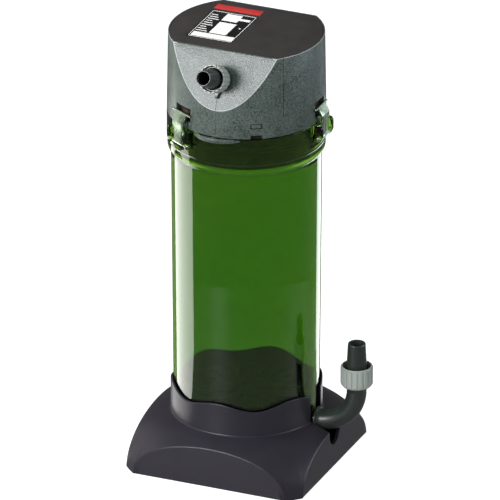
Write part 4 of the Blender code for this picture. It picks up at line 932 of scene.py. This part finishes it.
def make_cover():
    """The dark top of the head, with its coloured bar behind the label."""
    near, far = low("label_plate"), high("label_plate")
    blank = prism(head_plan(COVER_INSET + GAP), HEAD_TOP - COVER_DEPTH, HEAD_TOP)
    blank = softened(blank, COVER_SOFT, segments=3)
    pocket = box((near.x - GAP, near.y - GAP, near.z - GAP), (far.x + GAP, far.y + GAP, HEAD_TOP + PAST))
    left, (front, back), bottom = near.x - BAR_LEFT, (far.y + reach for reach in BAR_BACK), HEAD_TOP - BAR_DEPTH
    bar = box((left, front, bottom), (far.x, back, HEAD_TOP + PAST))
    piece("head_cover", cut(blank, gathered([pocket, bar])), COVER, "housing", ["top_cover"])
    inset = BAR_SIDE_GAP
    filling = box((left + inset, front + inset, bottom), (far.x - inset, back - inset, HEAD_TOP - BAR_SHY))
    piece("cover_bar", softened(filling, BAR_SOFT), INK_RED, "housing")


def make_label():
    """A plain rating label: a frame, blank fields and a column of dashes."""
    near, far = low("label_plate"), high("label_plate")
    face = HEAD_TOP - LABEL_SHY
    plate = box(tuple(near), (far.x, far.y, face))
    piece("label_sheet", softened(plate, LABEL_SOFT), INK_BLACK, "housing", ["label_plate"])
    width, depth = far.x - near.x, far.y - near.y
    far_x, far_y = 1 - FRAME_X, 1 - FRAME_Y
    fields = [
        (FRAME_X, FRAME_Y, far_x, FRAME_Y + FRAME_LINE), (FRAME_X, far_y - FRAME_LINE, far_x, far_y),
        (FRAME_X, FRAME_Y, FRAME_X + FRAME_LINE, far_y), (far_x - FRAME_LINE, FRAME_Y, far_x, far_y),
        *LABEL_FIELDS,
    ]
    for row in range(DASHES):
        start = DASH_START + DASH_PITCH * row
        fields.append((DASH_LEFT, start, DASH_RIGHT - DASH_SHORTER * (row % 3), start + DASH_LINE))
    printed = [
        box((near.x + width * left, near.y + depth * front, face - INK_IN),
            (near.x + width * right, near.y + depth * back, face + INK_OUT))
        for left, front, right, back in fields
    ]
    piece("label_print", gathered(printed), INK_WHITE, "housing")


# == Hose fittings ==

def ribbed_outline(radius):
    points = []
    for rib in range(NUT_RIBS):
        for share, drop in RIB_SHAPE:
            angle = math.tau * (rib + share) / NUT_RIBS
            reach = radius - drop * NUT_RIB_DEPTH
            points.append((reach * math.cos(angle), reach * math.sin(angle)))
    return points


def hose_nut(radius, bore_r, mouth_r, length):
    """A ribbed union nut: threaded bore below, wide mouth above, z = 0 at its lower end."""
    grip = prism(ribbed_outline(radius), -MM, length - NUT_RIM)
    middle, above = length / 2, length + PAST
    shoulder = length * NUT_SHOULDER
    blank = turned(rounded([
        (0, 0), (radius - NUT_CONE, 0, MILD), (radius, NUT_CONE_HIGH, NUT_CONE_SOFT),
        (radius + NUT_SKIN, middle), (radius + NUT_SKIN, above), (0, above),
    ]))
    rim_r = radius - NUT_RIB_DEPTH - NUT_RIM_IN
    rim = turned(rounded([(0, middle), (rim_r, middle), (rim_r, length, MILD), (0, length)]))
    pitch = shoulder / NUT_THREADS
    start, root, end = NUT_THREAD_PARTS
    thread = []
    for turn in range(NUT_THREADS):
        thread += [(bore_r, pitch * (turn + start)), (bore_r + NUT_THREAD_DEPTH, pitch * (turn + root)),
                   (bore_r, pitch * (turn + end))]
    hollow = turned([(0, -PAST), (bore_r, -PAST)] + thread + rounded([
        (bore_r, shoulder), (mouth_r, shoulder, SOFT), (mouth_r, length - SOFT),
        (mouth_r + MILD, length + NUT_RIM_IN), (mouth_r + MILD, above), (0, above),
    ]))
    return cut(joined(common(grip, blank), rim), hollow)


def grip_ring(bore_r, outer_r, length):
    """A split ring that closes on the hose as the nut is tightened."""
    corners = ((bore_r, 0), (outer_r, 0), (outer_r, length), (bore_r, length))
    body = turned(rounded([(*corner, FINER) for corner in corners]))
    return cut(body, box((0, -RING_SLIT_HALF, -MM), (outer_r + REACH, RING_SLIT_HALF, length + MM)))


def thread_line(radius, start, pitch, turns):
    """Outline of a shallow outside thread, as (radius, height) points."""
    line = []
    for base in (start + turn * pitch for turn in range(turns)):
        line += [(radius, base), (radius - THREAD_DEPTH, base + THREAD_RIDGE / 2),
                 (radius, base + THREAD_RIDGE)]
    return line


def make_outlet():
    where = flat_matrix(True)
    outline = [
        (OUTLET_BORE_R, -OUTLET_IN), (OUTLET_SHANK_R, -OUTLET_IN), (OUTLET_SHANK_R, GAP),
        *rounded([(OUTLET_FLANGE_R, GAP), (OUTLET_FLANGE_R, OUTLET_FLANGE, SOFT),
                  (OUTLET_THREAD_R, OUTLET_FLANGE + SOFT)]),
        *thread_line(OUTLET_THREAD_R, OUTLET_THREAD_LOW, OUTLET_PITCH, OUTLET_TURNS),
        *rounded([
            (OUTLET_THREAD_R, OUTLET_THREAD_HIGH, TINY), (OUTLET_SHANK_R, OUTLET_THREAD_HIGH + OUTLET_NECK),
            (OUTLET_TAIL_R, OUTLET_NUT_HIGH + MM, MILD),
            (OUTLET_TIP_R + OUTLET_SWELL, OUTLET_LENGTH - OUTLET_TIP, FULL),
            (OUTLET_TIP_R, OUTLET_LENGTH, MILD), (OUTLET_BORE_R, OUTLET_LENGTH, TINY),
        ]),
    ]
    (tip_x, tip_y), (root_x, root_y) = KEY_TIP, KEY_ROOT
    key = prism([(-tip_x, -tip_y), (tip_x, -tip_y), (root_x, -root_y), (-root_x, -root_y)], GAP, KEY_HIGH)
    tail = joined(turned(outline), softened(key, SOFT, segments=3))
    piece("outlet_tail", tail, FITTING, "housing", ["outlet_spigot"], where)
    length = OUTLET_NUT_HIGH - OUTLET_NUT_LOW
    ring_at = where @ Matrix.Translation((0, 0, OUTLET_NUT_LOW + length * NUT_SHOULDER + GAP))
    piece("outlet_ring", grip_ring(OUTLET_THREAD_R + GAP, OUTLET_RING_R, OUTLET_RING), FITTING, "outlet_grip",
          ["outlet_grip_ring"], ring_at)
    nut = hose_nut(OUTLET_NUT_R, OUTLET_NUT_BORE_R, OUTLET_MOUTH_R, length)
    piece("outlet_union_nut", nut, NUT, "outlet_nut", ["outlet_nut"],
          where @ Matrix.Translation((0, 0, OUTLET_NUT_LOW)))


def make_gland():
    outline = rounded([
        (GLAND_BORE_R, -GLAND_IN), (GLAND_IN_R, -GLAND_IN), (GLAND_IN_R, GAP), (GLAND_FLANGE_R, GAP),
        (GLAND_FLANGE_R, GLAND_FLANGE, SOFT), (GLAND_NECK_R, GLAND_NECK, SOFT), (GLAND_TIP_R, GLAND_TIP, SOFT),
        (GLAND_BORE_R, GLAND_TIP, TINY),
    ])
    piece("lead_gland", turned(outline), RUBBER, "housing", ["cord_gland"], flat_matrix(False))


# == Inlet ==

def elbow_station(distance):
    """A point of the elbow's centre line at a distance from its flange, and the turn there."""
    if distance <= STRAIGHT:
        return Vector((distance, 0, 0)), 0.0
    if distance >= STRAIGHT + BEND:
        return Vector((LEG, 0, BEND_R + distance - STRAIGHT - BEND)), QUARTER
    swing = (distance - STRAIGHT) / BEND_R
    return Vector((STRAIGHT + BEND_R * math.sin(swing), 0, BEND_R - BEND_R * math.cos(swing))), swing


def swept(stations):
    """A closed tube along the elbow: (distance, radius) out along the skin and back along the bore."""
    rows = []
    for distance, radius in stations:
        centre, swing = elbow_station(distance)
        across = Vector((-math.sin(swing), 0, math.cos(swing))) * radius
        aside = Vector((0, radius, 0))
        angles = [math.tau * step / ELBOW_SIDES for step in range(ELBOW_SIDES)]
        rows.append([centre + across * math.cos(angle) + aside * math.sin(angle) for angle in angles])
    return skin(rows)


def bend_steps(start, stop, radius):
    return [(start + (stop - start) * step / BEND_STEPS, radius) for step in range(BEND_STEPS + 1)]


def make_inlet():
    lift = BEND + STRAIGHT - BEND_R - INLET_Z      # from a height to a distance along the line
    nut_low, nut_high, tip = INLET_NUT_LOW + lift, INLET_NUT_HIGH + lift, INLET_TIP_Z + lift
    thread_end = nut_low + INLET_THREAD_HIGH
    thread = thread_line(INLET_THREAD_R, nut_low + INLET_THREAD_LOW, INLET_PITCH, INLET_TURNS)
    (groove_in, groove_out), (root, throat, bore_end) = GROOVE, (nut_high - deep for deep in TAIL_BORE_DEPTHS)
    tube = swept([
        *rounded([
            (-PLUG_IN, PIPE_BORE_R, FINER), (-PLUG_IN, PLUG_R, FINER), (groove_in, PLUG_R),
            (groove_in, GROOVE_R), (groove_out, GROOVE_R), (groove_out, PLUG_R), (0, PLUG_R),
            (0, FLANGE_R, FLANGE_SOFT), (FLANGE, FLANGE_R, SOFT), (NECK_START, PIPE_R + SOFT, NECK_SOFT),
            (NECK_END, PIPE_R, MILD),
        ]),
        *bend_steps(PIPE_START, nut_low - PIPE_STOP, PIPE_R),
        *rounded([
            (nut_low - CONE_START, PIPE_R + CONE_RISE), (nut_low - CONE_END, INLET_THREAD_R, TINY),
            (nut_low + TINY, INLET_THREAD_R),
        ]),
        *((along, radius) for radius, along in thread),
        *rounded([
            (thread_end, INLET_THREAD_R, TINY), (thread_end + TAIL_ROOT, TAIL_R + TAIL_ROOT_IN),
            (nut_high + MM, TAIL_R, FULL), (tip - TAIL_TIP, TAIL_TIP_R, SOFT), (tip, TAIL_TIP_R - SOFT, SOFT),
            (tip, TAIL_BORE_R, FINER), (root, TAIL_BORE_R, SOFT), (throat, PIPE_BORE_R),
        ]),
        *bend_steps(bore_end, -BORE_START, PIPE_BORE_R),
    ])
    at_axis = Matrix.Translation((ELBOW_X, 0, INLET_Z))
    piece("elbow_pipe", tube, ELBOW, "elbow", ["inlet_elbow"], at_axis)
    nut_at = Matrix.Translation((LEG_X, 0, INLET_NUT_LOW))
    length = INLET_NUT_HIGH - INLET_NUT_LOW
    nut = hose_nut(INLET_NUT_R, INLET_NUT_BORE_R, INLET_MOUTH_R, length)
    piece("inlet_union_nut", nut, NUT, "inlet_nut", ["inlet_nut"], nut_at)
    ring_at = nut_at @ Matrix.Translation((0, 0, length * NUT_SHOULDER + GAP * 5))
    piece("inlet_ring", grip_ring(INLET_THREAD_R, INLET_RING_R, INLET_RING), ELBOW, "inlet_grip",
          ["inlet_grip_ring"], ring_at)


# == Studio ==

def seen_directly(tree, path):
    """1 where the camera sees a thing itself or through clear plastic."""
    either = tree.nodes.new("ShaderNodeMath")
    either.operation = "MAXIMUM"
    tree.links.new(path.outputs["Is Camera Ray"], either.inputs[0])
    tree.links.new(path.outputs["Is Transmission Ray"], either.inputs[1])
    return either.outputs[0]


def make_floor():
    half, z = FLOOR_HALF, -FLOOR_DROP
    mesh = bpy.data.meshes.new("floor")
    mesh.from_pydata([(-half, -half, z), (half, -half, z), (half, half, z), (-half, half, z)], [], [range(4)])
    made, tree, shader = shader_material("floor_pale")
    path = wired(tree, "LightPath")
    glow = wired(tree, "MapRange", Value=seen_directly(tree, path), To_Max=FLOOR_GLOW)
    fill(tree, shader, {
        "Base Color": FLOOR_GREY, "Roughness": FLOOR_ROUGHNESS, "Specular IOR Level": 0.0,
        "Emission Color": WHITE_LIGHT, "Emission Strength": glow.outputs["Result"],
    })
    mesh.materials.append(made)
    thing = added("floor", mesh)
    thing.visible_glossy = False


def make_shade():
    """A dark sheet on the floor inside the foot, so the floor's glow doesn't show in the notch."""
    half = FOOT_HALF - 2 * FOOT_WALL
    mesh = moved(box((-half, -half, 0), (half, half, FLOOR_DROP)), offset=AXIS)
    made, tree, shader = shader_material("floor_shaded")
    fill(tree, shader, {"Base Color": SHADE_GREY})
    mesh.materials.append(made)
    thing = added("shade", mesh)


def make_card():
    """A pale card on the floor in front, fading outward, which only shows in reflections."""
    rim = [AXIS + Vector(place(degrees, CARD_R, 0)) for degrees in CARD_ANGLES]
    mesh = bpy.data.meshes.new("card")
    mesh.from_pydata([AXIS, *rim], [], [(0, index, index + 1) for index in range(1, len(rim))])
    made, tree, shader = shader_material("card_pale")
    reach = tree.nodes.new("ShaderNodeVectorMath")
    reach.operation = "DISTANCE"
    reach.inputs[1].default_value = AXIS
    tree.links.new(here(tree), reach.inputs[0])
    fade = wired(tree, "MapRange", Value=reach.outputs["Value"], From_Min=CARD_R * CARD_FADE, From_Max=CARD_R,
                 To_Min=CARD_GLOW, To_Max=WORLD_GLOSSY)
    fade.interpolation_type = "SMOOTHSTEP"
    fill(tree, shader, {
        "Base Color": BLACK, "Emission Color": WHITE_LIGHT, "Emission Strength": fade.outputs["Result"],
    })
    mesh.materials.append(made)
    thing = added("card", mesh)
    thing.visible_camera = False
    thing.visible_diffuse = False
    thing.visible_transmission = False
    thing.visible_shadow = False


def softbox(name, direction, distance, size, power, colour=(1, 1, 1), height=AIM_Z):
    """A rectangular lamp that faces the object."""
    light = bpy.data.lights.new(name, "AREA")
    light.shape = "RECTANGLE"
    light.size, light.size_y = size
    light.energy = power
    light.color = colour
    thing = added(name, light)
    aim = Vector((AXIS.x, AXIS.y, height))
    thing.location = aim + Vector(direction).normalized() * distance
    thing.rotation_mode = "QUATERNION"
    thing.rotation_quaternion = (aim - thing.location).to_track_quat("-Z", "Y")
    return thing


def mirrored(name, direction, size, radiance, colour, middle):
    """An upright panel that only shows in reflections, as high as its middle."""
    area = size[0] * size[1]
    panel = softbox(name, direction, PANEL_DISTANCE, size, radiance * math.pi * area, colour, middle)
    panel.visible_camera = False
    panel.visible_transmission = False
    panel.visible_diffuse = False


def make_lights():
    """A lamp that the front flat mirrors, soft fills that nothing mirrors, and panels for the shiny pieces."""
    softbox("key", (-0.354, -0.876, 0.36), 1.6, (0.62, 0.62), power=23.0, colour=(0.97, 0.97, 1.0))
    fills = [
        softbox("left_key", (-1.0, -0.42, 0.55), 1.7, (0.5, 0.8), power=18.0, colour=(1.0, 0.98, 0.96)),
        softbox("right_fill", (1.0, -0.35, 0.5), 1.7, (0.5, 0.5), power=11.0, colour=PALE_COOL),
        softbox("top_fill", (-0.25, -0.1, 1.0), 1.5, (0.8, 0.8), power=9.0),
    ]
    for thing in fills:
        thing.visible_glossy = False
    for panel in PANELS:
        mirrored(*panel)


def make_world():
    """White behind the object and through it, dim where it only lights or is mirrored."""
    world = bpy.data.worlds.new("studio")
    bpy.context.scene.world = world
    world.use_nodes = True
    tree = world.node_tree
    path = wired(tree, "LightPath")
    unseen = wired(tree, "MapRange", Value=path.outputs["Is Glossy Ray"], To_Min=WORLD_AMBIENT,
                   To_Max=WORLD_GLOSSY)
    level = wired(tree, "MapRange", Value=seen_directly(tree, path), To_Min=unseen.outputs["Result"],
                  To_Max=WORLD_SEEN)
    fill(tree, tree.nodes["Background"], {"Color": WHITE_LIGHT, "Strength": level.outputs["Result"]})


def make_camera():
    back = Vector((
        math.sin(CAMERA_AZIMUTH) * math.cos(CAMERA_ELEVATION),
        -math.cos(CAMERA_AZIMUTH) * math.cos(CAMERA_ELEVATION),
        math.sin(CAMERA_ELEVATION),
    ))
    right = Vector((math.cos(CAMERA_AZIMUTH), math.sin(CAMERA_AZIMUTH), 0))
    up = back.cross(right)
    aim = AXIS + Vector((0, 0, AIM_Z)) + right * CAMERA_SHIFT[0] + up * CAMERA_SHIFT[1]
    camera = bpy.data.cameras.new("camera")
    camera.sensor_width = SENSOR
    camera.lens = SENSOR * CAMERA_DISTANCE / VIEW_WIDTH
    thing = added("camera", camera)
    thing.location = aim + back * CAMERA_DISTANCE
    thing.rotation_mode = "QUATERNION"
    thing.rotation_quaternion = (-back).to_track_quat("-Z", "Y")
    bpy.context.scene.camera = thing


def dress_nodes():
    dress(["pump_body", "pump_cover", "upper_grille", "outlet_duct"], DARK, 0.25 * MM)
    dress(["lower_grille"], STRAINER)
    dress(["head_seal", "inlet_o_ring", "shaft_bush_upper", "shaft_bush_lower"], RUBBER)
    dress(["stator_core"], CORE, 0.2 * MM)
    dress(["stator_coil_1", "stator_coil_2"], COIL, 1.2 * MM)
    dress(["rotor_magnet"], MAGNET, 0.3 * MM)
    dress(["impeller"], WHITE, 0.15 * MM)
    dress(["impeller_shaft"], CERAMIC, 0.2 * MM)


make_foot()
make_canister()
make_clips()
make_head()
make_cover()
make_label()
make_outlet()
make_gland()
make_inlet()
dress_nodes()
make_floor()
make_shade()
make_card()
make_lights()
make_world()
make_camera()
bpy.context.scene.view_settings.view_transform = "Standard"
